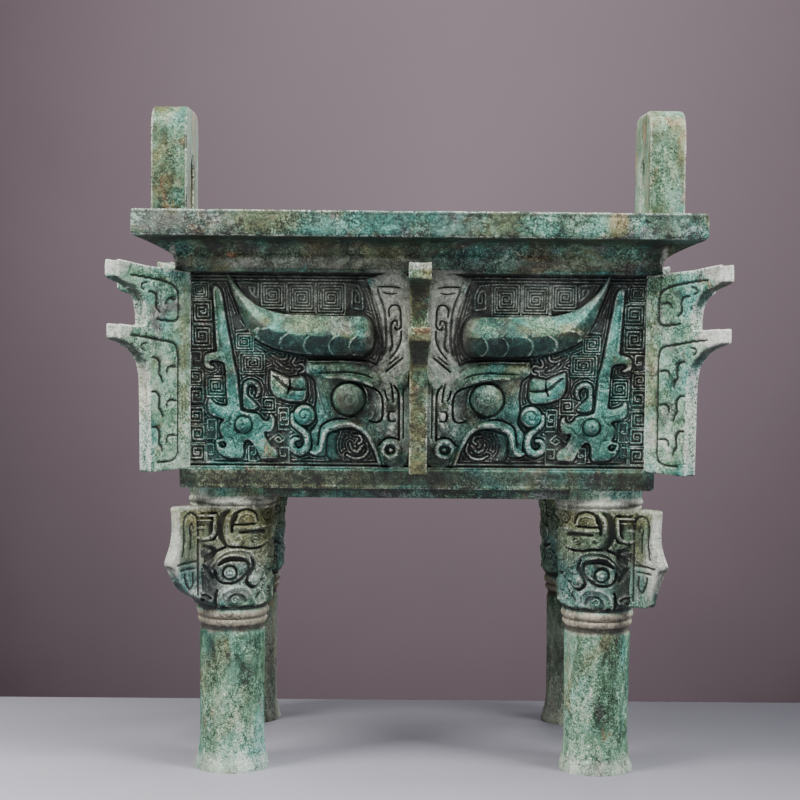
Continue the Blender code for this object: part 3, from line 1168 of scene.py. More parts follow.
@dataclass
class SpiralGround:
    """The square spirals between the forms: a ridge carried inwards along a squared path.

    Its section has five points, and the path's corners are rounded by the curve
    (1-t)^2 A + 2t(1-t) P + t^2 B.
    """

    boxes: Points
    corners: Sequence[Points] = ()
    squeeze: float = 1.0
    pitch: float = 1.2
    bend: float = 0.55
    section: Points = ((0.47, -0.15), (0.34, 0.74), (0.0, 0.98), (-0.34, 0.74), (-0.47, -0.15))

    def squared(self, box: Sequence[float], flip: int) -> Array:
        """The corners of a squared spiral.

        Ring m lies m steps in from the box, and the steps are such that the last one closes the
        middle. The left side of each ring starts one step late, which joins it to the next.

        Args:
            box: its middle's u and v, and its half width and half height, mm.
            flip: 1, or -1 to turn the other way.

        Returns:
            Rows of u and v.
        """
        cu, cv, half_u, half_v = box
        half_u *= self.squeeze
        turns = int((min(half_u, half_v) - 0.45) / self.pitch + 0.55) + 1
        step_u, step_v = ((half - 0.5) / max(turns - 1, 1) for half in (half_u, half_v))
        k = np.arange(4 * turns)
        m = k // 4
        right = np.isin(k % 4, (1, 2))
        top = k % 4 >= 2
        late = np.where(k % 4 == 0, np.maximum(m - 1, 0), m)
        x = np.where(right, half_u - step_u * m, -half_u + step_u * late)
        y = np.where(top, half_v - step_v * m, -half_v + step_v * m)
        return coords(cu * self.squeeze + flip * x, cv + y)

    def shrinking(self, corners: Points) -> Array:
        """A spiral between any corners: each next corner lies a little nearer to the middle.

        Args:
            corners: the corners of its outline, mm.

        Returns:
            Its path.
        """
        shape = squeezed(corners, self.squeeze)
        middle = shape.mean(axis=0)
        inner = float(np.abs(measure_outline(middle[:1], middle[1:], shape))[0])
        k = np.arange(int(len(shape) * inner / self.pitch))
        share = 1.0 - self.pitch * k / (len(shape) * inner)
        return middle + (shape[k % len(shape)] - middle) * share[:, None]

    def ridge(self, corners: Array) -> Skin:
        """Carries the section along a path.

        Args:
            corners: the path's corners.

        Returns:
            The ridge, flat on its pattern.
        """
        sides = np.linalg.norm(np.diff(corners, axis=0), axis=1)
        before = np.minimum(self.bend, 0.45 * np.r_[sides[0], sides])[:, None]
        after = np.minimum(self.bend, 0.45 * np.r_[sides, sides[-1]])[:, None]
        into = np.diff(corners, axis=0) / np.maximum(sides, 1e-6)[:, None]
        first = corners - before * np.vstack([into[:1], into])
        last = corners + after * np.vstack([into, into[-1:]])
        bend = 0.25 * first + 0.5 * corners + 0.25 * last
        path = np.stack([first, bend, last], axis=1).reshape(-1, 2)
        heading = np.gradient(path, axis=0)
        heading /= np.maximum(np.linalg.norm(heading, axis=1, keepdims=True), 1e-9)
        across = coords(-heading[:, 1], heading[:, 0])
        offset, height = np.array(self.section).T
        ends = np.ones(len(path))
        ends[[0, -1]] = 0.45
        points = path[:, None] + across[:, None] * (offset[:, None] * ends[:, None, None])
        cloud = coords(points[..., 0], points[..., 1], height).reshape(-1, 3)
        share = np.clip(cloud[:, 2] / height.max(), 0, 1)
        faces = grid_faces(len(path), len(offset))
        return Skin(cloud, [faces], 0.45 * share, 0.8 * (1 - share) ** 1.5, share**1.2)

    def build(self) -> Skin:
        """Builds every ridge.

        Returns:
            All of them as one skin.
        """
        paths = [self.squared(box, 1 if i % 2 else -1) for i, box in enumerate(self.boxes)]
        paths += [self.shrinking(corners) for corners in self.corners]
        first, *others = (self.ridge(path) for path in paths)
        return first.joined(*others)


@dataclass
class WallMask:
    """Half of the horned mask that fills a wall, and on a long side the dragon beside it.

    Coordinates are the distance from the wall's middle and the height above the panel's foot.
    Heights are above the sunk ground, with the wall's own face at 2. All in mm.
    """

    width: float = 106.0
    squeeze: float = 1.0
    dragon: bool = True
    triangles: int = 62000
    horn: Points = (
        (17, 57.8, 8.7), (30, 57.8, 8.8), (40, 57.9, 8.8), (50, 58.3, 8.7), (57, 59, 8.2),
        (61.8, 60, 7.7), (67.8, 62.4, 6.9), (72.9, 67.2, 4.5), (77, 73, 2.5), (80.2, 78.3, 1.4),
        (83, 84.6, 0.4),
    )
    horn_base: float = 19.8
    horn_height: float = 6.2
    scales: Sequence[float] = (30.4, 39.2, 49.9, 59.6, 68.7)
    shield: Points = (
        (4, 84.6), (20, 84.6), (23.4, 83), (21.6, 79.5), (20.1, 74.2), (18.9, 69.7), (17.8, 66),
        (16.8, 61.5), (16.1, 56.9), (15.8, 52.4), (17.2, 47.5), (18.6, 43.4), (18, 40), (16, 37),
        (4, 37),
    )
    shield_grooves: Sequence[Points] = (
        ((20.2, 76.8, 0.3), (18.3, 71.8, 0.4), (16.9, 66.5, 0.4), (15.9, 60.5, 0.4),
         (15.3, 54.5, 0.35)),
        ((17.9, 78.8, 0.5), (17.5, 76.7, 0.55), (15.7, 72.4, 0.6), (14.6, 68, 0.6),
         (14.1, 62.4, 0.6), (13.9, 56.3, 0.6), (14.6, 51.3, 0.55), (16.6, 46.9, 0.4)),
        ((17.9, 79.7, 0.45), (13, 79.9, 0.5), (8.4, 79.4, 0.4)),
        ((15.6, 77.2, 0.35), (12, 76.6, 0.4), (9.5, 77, 0.3)),
        ((12.7, 66.6, 0.45), (12.9, 69.7, 0.5), (11.5, 71.5, 0.5), (8.9, 71.4, 0.5),
         (7.9, 69.1, 0.5), (7.7, 65.8, 0.5), (7.7, 61.9, 0.5), (9.4, 60.7, 0.45),
         (10.3, 61.8, 0.4)),
        ((9.2, 62.6, 0.4), (9.6, 64.6, 0.45), (11.4, 64.2, 0.5), (11.9, 62, 0.5),
         (11.7, 57.5, 0.5), (11.3, 53.6, 0.5), (12.3, 51.4, 0.4)),
        ((7.6, 60, 0.45), (7.6, 56.3, 0.55), (9.2, 51.9, 0.55), (12.3, 47.8, 0.45)),
        ((6.6, 48.2, 0.5), (10.5, 45, 0.65), (13.9, 42.2, 0.5)),
        ((8.6, 48.6, 0.35), (12.6, 45.4, 0.4)),
        ((10.6, 35.8, 0.45), (8.7, 33, 0.55), (8.2, 28, 0.55), (8.2, 11, 0.5)),
        ((6.3, 34, 0.3), (6.2, 12, 0.3)),
        ((11.9, 36.6, 0.4), (11.2, 33, 0.45), (10.7, 28.3, 0.4)),
        ((14.6, 33.6, 0.4), (14, 31, 0.45), (13, 28.8, 0.4)),
        ((10.2, 24, 0.4), (12.4, 23.8, 0.5), (12.9, 21.6, 0.5), (12, 19.7, 0.5), (9.8, 19.7, 0.4)),
        ((23.7, 35.9, 0.35), (19, 34.2, 0.5), (16.3, 31.7, 0.55), (15.4, 27.8, 0.55),
         (15.5, 22.4, 0.55), (16.4, 19.8, 0.5), (18.7, 19.2, 0.45), (21.2, 19.9, 0.35)),
        ((17.2, 8.8, 0.4), (14.6, 11.6, 0.5), (11.6, 12.4, 0.5), (8.4, 11.4, 0.4)),
    )
    face: Points = (
        (4, 40), (16, 44), (24, 47), (40, 47), (49, 46.8), (49.2, 41), (45.6, 37.4), (44.8, 30),
        (45.4, 25), (44.6, 19), (47.4, 14.5), (47, 9), (47.6, 5.2), (44, 3.5), (40, 5), (39, 15),
        (33, 17.8), (26, 15.5), (20, 9), (17, 1), (4, 1),
    )
    canthus: Points = (
        (23.9, 34.6), (19.4, 33.2), (17, 31), (16.3, 27.4), (16.4, 22.6), (17.4, 20.6),
        (19.6, 20.3), (22.2, 22.4), (21.9, 28),
    )
    eye: Sequence[float] = (30.4, 29.6)
    eye_radius: float = 7.2
    brow: Points = (
        (47, 42.8, 2.8), (40, 42, 4.3), (30, 41.6, 4.8), (23, 40.2, 4.4), (18.8, 38, 3.2),
    )
    brow_groove: Points = (
        (44, 41.2, 0.3), (38, 41.3, 0.6), (31, 41.6, 0.6), (24, 40.6, 0.5), (20, 38.8, 0.3),
    )
    brow_rolls: Sequence[Points] = (
        ((40, 39.2, 0.8), (34, 39.2, 1.4), (28, 38.8, 1.6), (23.4, 37.5, 1.5), (20.4, 35.8, 0.9)),
        ((48.4, 46.2, 0.4), (40, 46.4, 0.45), (31, 46.4, 0.45), (24.6, 46, 0.4)),
        ((48.6, 46.2, 0.4), (46.8, 44.2, 0.45), (46.2, 42.4, 0.35)),
    )
    lip_groove: Points = (
        (31.4, 20.6, 0.35), (35.9, 20.6, 0.6), (39.8, 19.4, 0.65), (42.8, 17, 0.65),
        (43.6, 13.4, 0.6), (44.2, 8.4, 0.4),
    )
    jaw: Points = (
        (16.6, 0.6, 0.8), (18.1, 5.6, 0.9), (19.8, 9.4, 1.0), (21.6, 12.9, 1.1),
        (24, 15.6, 1.25), (27, 17.5, 1.4), (30, 18.2, 1.5), (33.4, 18.0, 1.5), (36.6, 17.1, 1.5),
        (39.8, 15.7, 1.4), (41.2, 13.8, 1.3), (42.0, 11.2, 1.2), (42.4, 8.2, 1.1),
        (43.4, 6, 1.0), (45.3, 5, 0.9), (47.2, 5.6, 0.6),
    )
    mouth: Points = (
        (17.6, 0.4), (19.4, 5.6), (21.4, 9.6), (24, 13.4), (27.4, 16), (31, 16.9), (35, 16.4),
        (38.6, 14.8), (40.6, 12.2), (41.2, 8), (41.6, 4), (40.4, 0.4), (30, 0.4),
    )
    fangs: Sequence[Points] = (
        ((30, 9.6, 0.45), (29, 6.9, 0.6), (26.6, 6, 0.7), (25.3, 7.4, 0.6), (24, 9, 0.45)),
        ((28.4, 13.4, 0.4), (25.6, 13, 0.5), (24.6, 10.8, 0.5), (26.2, 9.4, 0.45)),
        ((22.4, 9.6, 0.4), (21.8, 6.4, 0.5), (24, 3.6, 0.55), (28, 2.8, 0.5), (31.4, 4.4, 0.4)),
    )
    tooth: Points = (
        (40.4, 13.6), (37.6, 15.4), (34.4, 14.6), (35.4, 12.4), (36, 9), (35.4, 5.4), (33.2, 2.0),
        (38, 1.4), (40.4, 4.2), (40.8, 9.6),
    )
    cheek: Points = (
        (55.4, 22.2, 0.9), (55, 18.8, 1.2), (52.6, 16.4, 1.4), (49.8, 14, 1.5), (48.8, 10.4, 1.6),
        (49.6, 7, 1.8), (52.4, 5.4, 1.7), (55, 6.6, 1.5), (55.8, 9.2, 1.1), (54.6, 11.2, 0.9),
        (52.8, 11.4, 0.7),
    )
    cheek_boss: Sequence[float] = (50.1, 22.1)
    nostril: Sequence[float] = (11.8, 6.9)
    leaf: Points = (
        (65, 42.4), (62, 41.3), (58.7, 40), (56.9, 39.2), (53.1, 39.6), (50.3, 39.6),
        (48.9, 37.2), (48.6, 33.3), (48.7, 30.4), (50.2, 27.9), (53.7, 27.6), (57.6, 27.9),
        (60.6, 28.9), (62.8, 29.8), (64.6, 31.8), (65.6, 35), (65.5, 40),
    )
    leaf_grooves: Sequence[Points] = (
        ((63.6, 39.6, 0.5), (61, 37.4, 0.8), (58.6, 35.2, 0.9), (56.2, 33.9, 0.9),
         (52.6, 33.6, 0.8), (49.8, 33.6, 0.5)),
        ((56.4, 38.6, 0.5), (56.3, 36.4, 0.6), (56.6, 33.8, 0.6), (57.6, 31.6, 0.5)),
    )
    hooks: Sequence[Points] = (
        ((53.9, 48, 0.4), (55, 45.6, 0.45), (53.8, 44.2, 0.45), (51.4, 45, 0.45),
         (50, 43.8, 0.45), (50.2, 41.8, 0.45), (52, 41, 0.4)),
        ((48.9, 47, 0.35), (48, 44, 0.4), (48.8, 40.8, 0.4)),
        ((62, 46, 0.4), (59, 43.4, 0.45), (56.6, 42.6, 0.4)),
        ((64.6, 49, 0.4), (61, 47, 0.45), (58, 47.4, 0.45), (57.6, 49.4, 0.4)),
        ((42.6, 36.8, 0.35), (41, 31.2, 0.4), (39.9, 26.8, 0.4), (38.7, 24.6, 0.3)),
        ((44.6, 35, 0.35), (43, 28.4, 0.4), (40.8, 22.6, 0.35)),
        ((19.4, 23.6, 0.3), (20.3, 21.4, 0.4), (21.8, 20.6, 0.3)),
    )
    body: Points = (
        (89.5, 79.9), (90, 79), (89.8, 73), (89.3, 65.5), (89, 58), (88.8, 53), (88.7, 50.6),
        (91, 49.9), (93, 49.1), (94.1, 47.8), (94.4, 46), (94, 43.8), (92.6, 42.5), (90.6, 42.2),
        (89.4, 43.1), (90.5, 43.9), (91.5, 44.5), (91.5, 45.4), (90.4, 46.1), (88.4, 46),
        (86.4, 45.5), (85.2, 44.3), (84.9, 40), (84.75, 35), (84.5, 30), (84.2, 26.8), (86, 26),
        (89, 26.7), (90.6, 27.9), (91.6, 29.3), (92.5, 28.6), (92.9, 26.8), (92.7, 23.2),
        (90.6, 21.3), (87.2, 20.4), (85.9, 19.7), (87.1, 18.3), (87.8, 16.5), (87.5, 14),
        (86.4, 11.8), (87.6, 11.2), (89.2, 10.8), (89.8, 9.4), (89.5, 7.4), (88.5, 5.2),
        (86.8, 3.5), (84.5, 2.5), (81, 2.3), (78, 2.4), (77.1, 5), (77.2, 7.6), (76.5, 9.8),
        (75.3, 10.6), (73.9, 9.9), (72, 7), (70.5, 4), (69.1, 2.1), (66, 2.3), (62.4, 2.5),
        (61.8, 5), (63, 7), (65, 8.3), (66.2, 10), (67.4, 12.4), (67.6, 14.4), (66, 14.2),
        (64.3, 15), (63.3, 17), (63, 19.5), (63.8, 21.7), (65.4, 22.6), (65.5, 20.8), (66.6, 19.4),
        (68.1, 19.6), (69.2, 20.7), (70, 21.9), (71.7, 22.7), (74, 23), (77.2, 23.8), (78.3, 25.2),
        (78.9, 32.5), (79.6, 40), (80.8, 45.4), (81.6, 50), (82.4, 55.5), (83.3, 60.5),
        (84, 65.5), (84.8, 70.5), (85.4, 75), (86.2, 78), (87.8, 79.7),
    )
    body_hole: Points = (
        (88.7, 9.4), (87.4, 10.2), (85.4, 10.1), (84.4, 9), (84.7, 7.5), (86.2, 6.7), (87.9, 7.3),
    )
    body_lines: Sequence[Points] = (
        ((88.6, 77, 0.3), (88, 70, 0.35), (87.4, 60, 0.35), (86.6, 52, 0.3)),
        ((87.6, 16, 0.3), (86.2, 18, 0.4), (83.2, 19.6, 0.4), (82, 22.4, 0.3)),
        ((70.6, 14, 0.3), (68.6, 16.6, 0.4), (66.4, 17.4, 0.3)),
        ((84.4, 12, 0.3), (81.8, 11, 0.4), (80.6, 7, 0.3)),
    )
    body_eye: Sequence[float] = (77.1, 17.6)
    comma: Points = (
        (75, 30.6), (73.2, 28.8), (71, 26.6), (70.3, 25.2), (72, 24.3), (74.5, 24.1),
        (76.5, 24.7), (77.3, 26), (77.5, 29), (77.3, 33), (77, 36), (75, 37.7), (72, 37.5),
        (69.7, 35.5), (69.2, 32.4), (70.3, 30.2), (72, 29.9), (71.4, 31.4), (71.2, 33.4),
        (72.4, 35), (74.3, 34.9), (75.2, 33.6), (75.3, 31.8),
    )
    top_boxes: Points = (
        (63.6, 75.4, 5.0, 5.6), (51.3, 74.2, 5.8, 7.0), (37.9, 74.2, 5.8, 7.0),
        (44.6, 74.3, 0.2, 7.0), (57.8, 74.6, 0.2, 6.6),
    )
    top_corners: Sequence[Points] = (
        ((30.4, 81), (26.4, 81), (24.2, 76), (23.4, 67.8), (30.4, 67.8)),
        ((76.6, 81.4), (69.4, 81.4), (69.4, 72.4), (73.6, 75.6)),
    )
    long_boxes: Points = (
        (95.2, 77.4, 3.7, 3.7), (94.8, 67.8, 4.3, 5.1), (94.6, 56.8, 4.3, 5.4),
        (97.7, 46.4, 2.1, 3.6), (97.7, 38.6, 2.9, 3.3), (97.9, 30, 3, 4.3), (97.9, 21.2, 3, 3.7),
        (97.9, 12.9, 3, 3.8), (97.7, 4.6, 3.2, 3.8), (89.3, 34.6, 3.9, 4.6), (91.2, 15.4, 1.9, 4.4),
        (92.2, 4.6, 1.6, 4), (76, 54.5, 3.7, 3.9), (73, 45, 5.5, 4.6), (65.8, 26.6, 3, 3.4),
        (59.4, 20.4, 2.2, 4.9), (59, 4, 2, 3.4), (73.4, 4.6, 1.6, 3.4),
    )
    long_corners: Sequence[Points] = (
        ((79.6, 59.6), (74.4, 59.6), (78.4, 66.4)),
        ((65.6, 11), (61.8, 14.4), (57.6, 11.2), (61.4, 8.4)),
    )
    short_boxes: Points = (
        (57.4, 53, 3.4, 3.8), (59.4, 44, 4.6, 4.6), (60.8, 33.5, 4.2, 4.8),
        (60.4, 23, 4.2, 4.8), (60.4, 12.6, 4.2, 4.6), (60.4, 4, 4.2, 3.2),
    )

    def carve(self) -> Relief:
        """Lays every form on the sheet.

        Returns:
            The sheet of heights.
        """
        r = Relief(self.width, -2.6, 87.4, 0.29, self.squeeze)
        r.height += 0.07 * r.roughness(5.0, 11)
        r.plate(self.shield, 2.5)
        r.plate(self.face, 1.6)
        r.sink(self.canthus, 1.0)
        r.sink(self.mouth, 0.1)
        r.raise_stroke(self.brow, 3.4)
        r.cut_strokes((self.brow_groove, self.lip_groove), 1.3)
        r.cut_strokes(self.shield_grooves, 1.5)
        for roll in self.brow_rolls:
            r.raise_stroke(roll, 3.9 if roll[1][2] > 1 else 3.0)
        self.lay_horn(r)
        for fang in self.fangs:
            r.raise_stroke(fang, 1.7)
        r.plate(self.tooth, 1.5, 1.6)
        r.raise_stroke(self.jaw, 3.9)
        r.raise_stroke(self.cheek, 3.0)
        r.dome(self.cheek_boss, 4.6, 3.8, 1.2)
        r.add_stroke(r.curl(self.cheek_boss, 3.3, 200, -1.15, 0.45), -0.9)
        r.plate(self.leaf, 2.8, 1.2)
        r.cut_strokes(self.leaf_grooves, 1.6)
        for hook in self.hooks:
            r.raise_stroke(hook, 2.3 if hook[0][0] < 46 else 1.5)
        self.lay_eye(r)
        r.ring(self.nostril, 3.4, 1.25, 2.2)
        r.dome(self.nostril, 1.4, 3.2)
        r.raise_stroke(((16.2, 5, 0.9), (15.6, 2.6, 0.9), (14.8, 0.6, 0.8)), 2.6)
        if self.dragon:
            self.lay_dragon(r)
        self.lay_frame(r)
        # Painted shade over the brow band, from its lower roll up to its top edge
        brow = smoothstep((r.v - 37) / 2) * smoothstep(46 - r.v)
        brow = 0.35 * brow * smoothstep((r.u - 17) / 3) * smoothstep((45 - r.u) / 3)
        r.shade = np.maximum(r.shade, brow)
        r.fill_lines(self.boxes(), 1.35, 1.25, 0.85)
        return r

    def lay_horn(self, r: Relief) -> None:
        """The horn: two slopes up to a crest that sinks to the tip, crossed by overlapping scales.

        On each slope a scale's edge bulges towards the tip, by q = along + k (x - 0.55)^2 / 0.3,
        where x runs from the crest to the horn's edge and k is 2 above the crest and 3 below it.
        Each scale swells towards its edge, and the edge itself is a thin ridge, both more on the
        lower slope. The base is rounded off. The lower slope and the rounded base are painted darker,
        apart from those ridges: on the base painted shade, on the lower slope painted shade and dark
        patina both.

        Args:
            r: the sheet.
        """
        window, at = r.stroke(self.horn)
        crest = 0.02 + 0.16 * smoothstep((at.along - 46 * self.squeeze) / 16)
        upper = at.across > crest
        slope = np.where(upper, (at.across - crest) / (1 - crest), (crest - at.across) / (1 + crest))
        slope = np.clip(slope, 0, 1)
        to_tip = np.clip((at.length - at.along) / (44.0 * self.squeeze), 0, 1)
        full = smoothstep(to_tip * 0.74 + 0.26)
        rise = self.horn_height * full
        top = 2.4 + rise * (1.0 - slope ** np.where(upper, 1.35, 1.7))
        top = top - 0.5 * (1 - rise / self.horn_height)
        q = at.along + np.where(upper, 2.0, 3.0) * (slope - 0.55) ** 2 / 0.3
        marks = (np.array(self.scales) - self.horn[0][0]) * self.squeeze
        start = np.r_[marks[0] - 10 * self.squeeze, marks[:-1]]
        bright = np.zeros(q.shape)
        for a, b in zip(start, marks):
            share = np.clip((q - a) / (b - a), 0, 1) * (q <= b)
            ridge = np.exp(-(((q - b + 0.4) / 0.5) ** 2))
            top = top + np.where(upper, 0.28, 0.9) * share**2.5
            top = top + np.where(upper, 0.42, 0.8) * ridge
            bright = np.maximum(bright, ridge)
        base = self.horn_base * self.squeeze + 3.6 * np.abs(at.across) ** 3 - 0.8
        end = np.clip((r.u[window] - base) / 5.0, 0, 1)
        inside = smoothstep(at.inside / 0.5 + 0.5)
        r.lift(window, top * inside * rounded(1 - end))
        # Painted shade on the lower slope and round the base, left off the scale ridges; on the lower
        # slope it is dark patina too
        dark = smoothstep((crest - at.across) / 0.12) * (0.5 + 0.2 * slope) * (1 - 0.95 * bright)
        dark = np.maximum(dark, 0.6 * smoothstep(1.1 - end / 0.7))
        r.shade[window] = np.maximum(r.shade[window], dark * inside)

    def lay_eye(self, r: Relief) -> None:
        """The eye: a dome with a dimple in a ring-shaped hollow.

        Args:
            r: the sheet.
        """
        r.ring(self.eye, self.eye_radius + 0.55, 0.5, -0.8)
        r.dome(self.eye, self.eye_radius, 6.9, 0.6)
        r.raise_stroke(((24.8, 36.4, 0.3), (22.6, 32.6, 0.45), (22.4, 28.4, 0.5), (24.4, 24.4, 0.45),
                        (27.4, 22.4, 0.3)), 2.2)
        r.ring(self.eye, 1.5, 0.7, -0.3)
        r.ring(self.eye, 0.0, 0.7, -0.4)

    def lay_dragon(self, r: Relief) -> None:
        """The upright dragon: a flat figure with a curled foot, a comma before it, a round eye.

        Args:
            r: the sheet.
        """
        r.plate(self.comma, 2.0, 0.6)
        r.plate(self.body, 2.9, 0.65)
        r.sink(self.body_hole, 0.3, 0.5)
        r.raise_stroke(((87.9, 8.9, 0.3), (86.6, 9.2, 0.5), (86, 8.2, 0.4)), 1.6)
        r.cut_strokes(self.body_lines, 0.55)
        r.ring(self.body_eye, 3.9, 0.65, -1.1)
        r.dome(self.body_eye, 3.3, 5.2, 1.5)
        r.ring(self.body_eye, 0.0, 0.9, -0.6)

    def lay_frame(self, r: Relief) -> None:
        """The panel's border: thin lines above and below, and the wall's own face round it.

        Args:
            r: the sheet.
        """
        squeeze, r.squeeze = r.squeeze, 1.0
        for level, half, height in (
            (84.1, 0.42, 1.3), (82.6, 0.42, 1.2), (0.3, 0.45, 1.2), (-1.4, 0.6, 1.9),
        ):
            r.raise_stroke(((0, level, half), (self.width, level, half)), height)
        r.squeeze = squeeze
        face = np.maximum(smoothstep((r.v - 85.4) / 0.9), smoothstep((-1.5 - r.v) / 0.7))
        face = np.maximum(face, smoothstep((r.u - self.width + 3.2) / 1.2))
        r.height = np.maximum(r.height, SIZES.panel_sunk * face)

    def boxes(self) -> list[Array]:
        """Finds the places that the spirals take, in the mask's own u.

        Returns:
            For each, its middle's u and v and its half sizes, mm.
        """
        if self.dragon:
            corners, own = (*self.top_corners, *self.long_corners), np.array(self.long_boxes)
        else:
            corners, own = self.top_corners, np.array(self.short_boxes)
            own = own / (self.squeeze, 1, self.squeeze, 1)
        shapes = [np.array(shape) for shape in corners]
        around = [np.r_[s.max(0) + s.min(0), s.max(0) - s.min(0)] / 2 for s in shapes]
        return [*np.array(self.top_boxes), *own, *around]

    def ground(self) -> Skin:
        """Builds the square spirals between the forms.

        Returns:
            Their skin.
        """
        above = SpiralGround(self.top_boxes, self.top_corners, self.squeeze).build()
        if self.dragon:
            return above.joined(SpiralGround(self.long_boxes, self.long_corners).build())
        return above.joined(SpiralGround(self.short_boxes).build())

    def build(self) -> Skin:
        """The half panel, flat: its forms thinned where they are smooth, and the spirals."""
        r = self.carve()
        return r.skin(r.height, r.wear(3.4, 0.56), self.triangles).joined(self.ground())


# ------------------------------------------------------------------------------ the plain vessel


@dataclass
class VesselShell:
    """The box, its lip, its mouth and its base: one closed skin of rounded rectangles in rows.

    Each row has a height, a half length, a half width and a corner radius, all in mm, and the
    three values that drive its patina, where the hollow value also paints shade under the lip,
    under the body and deeper in the mouth. lip_edge gives heights, how far each is set back from
    the lip's reach, and the wear of its edge. mouth does so for the inside, where the second
    number is added to the mouth's size.
    """

    long_samples: int = 92
    short_samples: int = 64
    corner_samples: int = 6
    cove_share: float = 0.985
    cove_softness: float = 0.18
    lip_edge: Points = (
        (241.5, 1.5, 0.2), (241.55, 0.75, 0.7), (242.0, 0.2, 0.9), (242.9, 0.0, 0.35),
        (244.5, 0.0, 0.1), (246.5, 0.0, 0.1), (248.5, 0.0, 0.1), (250.3, 0.0, 0.2),
        (251.2, 0.06, 0.2), (251.9, 0.0, 0.5), (252.6, 0.15, 0.9), (252.9, 0.45, 0.9),
        (253.0, 1.2, 0.4),
    )
    mouth: Points = (
        (252.9, 0.7, 0.6), (252.5, 0.2, 0.8), (251.6, 0.0, 0.4), (247.0, -0.1, 0.0),
        (240.0, -0.2, 0.0), (225.0, -0.5, 0.0), (205.0, -1.0, 0.0), (180.0, -1.4, 0.0),
        (155.0, -1.9, 0.0), (138.0, -2.2, 0.0), (134.0, -3.0, 0.0), (131.8, -5.0, 0.0),
        (131.0, -8.0, 0.0), (131.0, -24.0, 0.0), (131.0, -44.0, 0.0),
    )

    def outline(self) -> tuple[Array, Array]:
        """A unit rectangle's corner places and directions, once round from the front left.

        Returns:
            Rows of corner signs along the sides, and rows of outward directions.
        """
        places, headings = [], []
        angle = np.radians(np.linspace(0, 90, self.corner_samples + 2)[1:-1])
        for quarter in range(4):
            count = self.short_samples if quarter % 2 else self.long_samples
            place = coords(np.r_[np.linspace(-1, 1, count), np.ones(len(angle))], -1.0)
            right = np.r_[np.zeros(count), np.sin(angle)]
            heading = coords(right, np.r_[-np.ones(count), -np.cos(angle)])
            c, s = np.round((np.cos(quarter * np.pi / 2), np.sin(quarter * np.pi / 2)))
            places.append(place @ ((c, s), (-s, c)))
            headings.append(heading @ ((c, s), (-s, c)))
        return np.vstack(places), np.vstack(headings)

    def rows(self) -> Array:
        """Every row from the middle of the base, up the outside, over the lip and down inside.

        Returns:
            Rows of height, half length, half width, corner radius, relief, hollow and edge.
        """
        s = SIZES
        inset = s.base_inset
        rows: list[tuple[float, ...]] = []

        def wall(z: float, sunk: float, radius: float, *wear: float) -> None:
            """Adds a row that follows the leaning wall."""
            rows.append((z, s.half_length(z) - sunk, s.half_width(z) - sunk, radius, *wear))

        def cove(share: float) -> float:
            """How far the slope under the lip is out: t + sqrt(t^2 + k^2), over that at t = 1.

            Args:
                share: t, from 0 at the neck to 1 at the lip.

            Returns:
                The distance, mm.
            """
            soft = self.cove_softness
            curve = float((share + np.hypot(share, soft)) / (1 + np.hypot(1, soft)))
            return s.overhang * self.cove_share * curve

        for share in (0.12, 0.4, 0.7, 0.95):
            length, width = s.half_length(s.base) - inset, s.half_width(s.base) - inset
            rows.append((s.base, length * share, width - length * (1 - share) * 0.7, 1, 0.2, 0.3, 0))
        wall(s.base, inset + 0.6, 1.0, 0.2, 0.2, 0.3)
        wall(s.base + 0.6, inset, 1.2, 0.3, 0.1, 0.6)
        # Painted shade: the recessed strip under the body, above the base plate, is darker
        wall(s.bottom - 0.8, inset, 1.2, 0.2, 0.7, 0)
        wall(s.bottom - 0.1, inset - 0.7, 1.4, 0.2, 0.8, 0)
        wall(s.bottom, 4.5, 1.4, 0.3, 0.3, 0)
        wall(s.bottom, 1.0, 1.2, 0.3, 0.2, 0.1)
        wall(s.bottom + 0.3, 0.35, 1.2, 0.5, 0, 0.8)
        wall(s.bottom + 1.0, 0.0, 1.2, 0.5, 0, 0.5)
        for z in (132.2, 134.2, 136.2, 137.6):
            wall(z, 0.0, 1.2, 0.2, 0.6, 0.0)
        wall(138.3, 0.15, 1.2, 0.4, 0.4, 0.2)
        wall(138.9, 3.4, 1.0, 0, 1, 0)
        for z in np.linspace(150, 216, 5):
            wall(float(z), 3.5, 1.0, 0, 1, 0)
        wall(226.8, 3.4, 1.0, 0, 1, 0)
        wall(227.2, 0.15, 1.2, 0.4, 0.2, 0.2)
        for z in (227.9, 228.8, 229.7, 230.6, 231.5, 232.4, 233.1):
            out = cove((z - s.neck) / (s.lip_bottom - s.neck))
            length, width = s.half_length(z) + out, s.half_width(z) + 0.3 * out
            rows.append((z, length, width, 1.2, 0.3, 0.05, 0.0))
        for share in (0.05, 0.15, 0.28, 0.42, 0.56, 0.7, 0.82, 0.91, 0.97):
            z = s.neck + (s.lip_bottom - s.neck) * share
            far = s.overhang * (1 - (1 - share**3) ** 0.5)
            length, width = s.lip_length - s.overhang + cove(share), s.lip_width - s.overhang + far
            # Painted shadow under the lip: the slope darkens towards the lip
            shadow = 0.25 + 0.5 * float(smoothstep(share - 0.2))
            rows.append((z, length, width, 1.2, 0.2, shadow, 0.0))
        length, width = s.lip_length, s.lip_width
        for z, back, wear in self.lip_edge:
            rows.append((z, length - back, width - back, 0.7, 0.6, 0.5 * (250.9 < z < 252), wear))
        for share in (0.2, 0.5, 0.8):
            across = share * 19.6
            rows.append((s.rim_top, length - 1.7 - across, width - 1.7 - across, 1.8, 0.4, 0.1, 0))
        for z, out, wear in self.mouth:
            # Painted shade: the inside of the mouth is darker deeper down
            deep = float(smoothstep((s.rim_top - z) / 90.0))
            length, width = s.mouth_length + out, s.mouth_width + out
            rows.append((z, length, width, 2.0 + 3.0 * deep, 0.35, 0.25 + 0.3 * deep, wear))
        return np.array(rows)

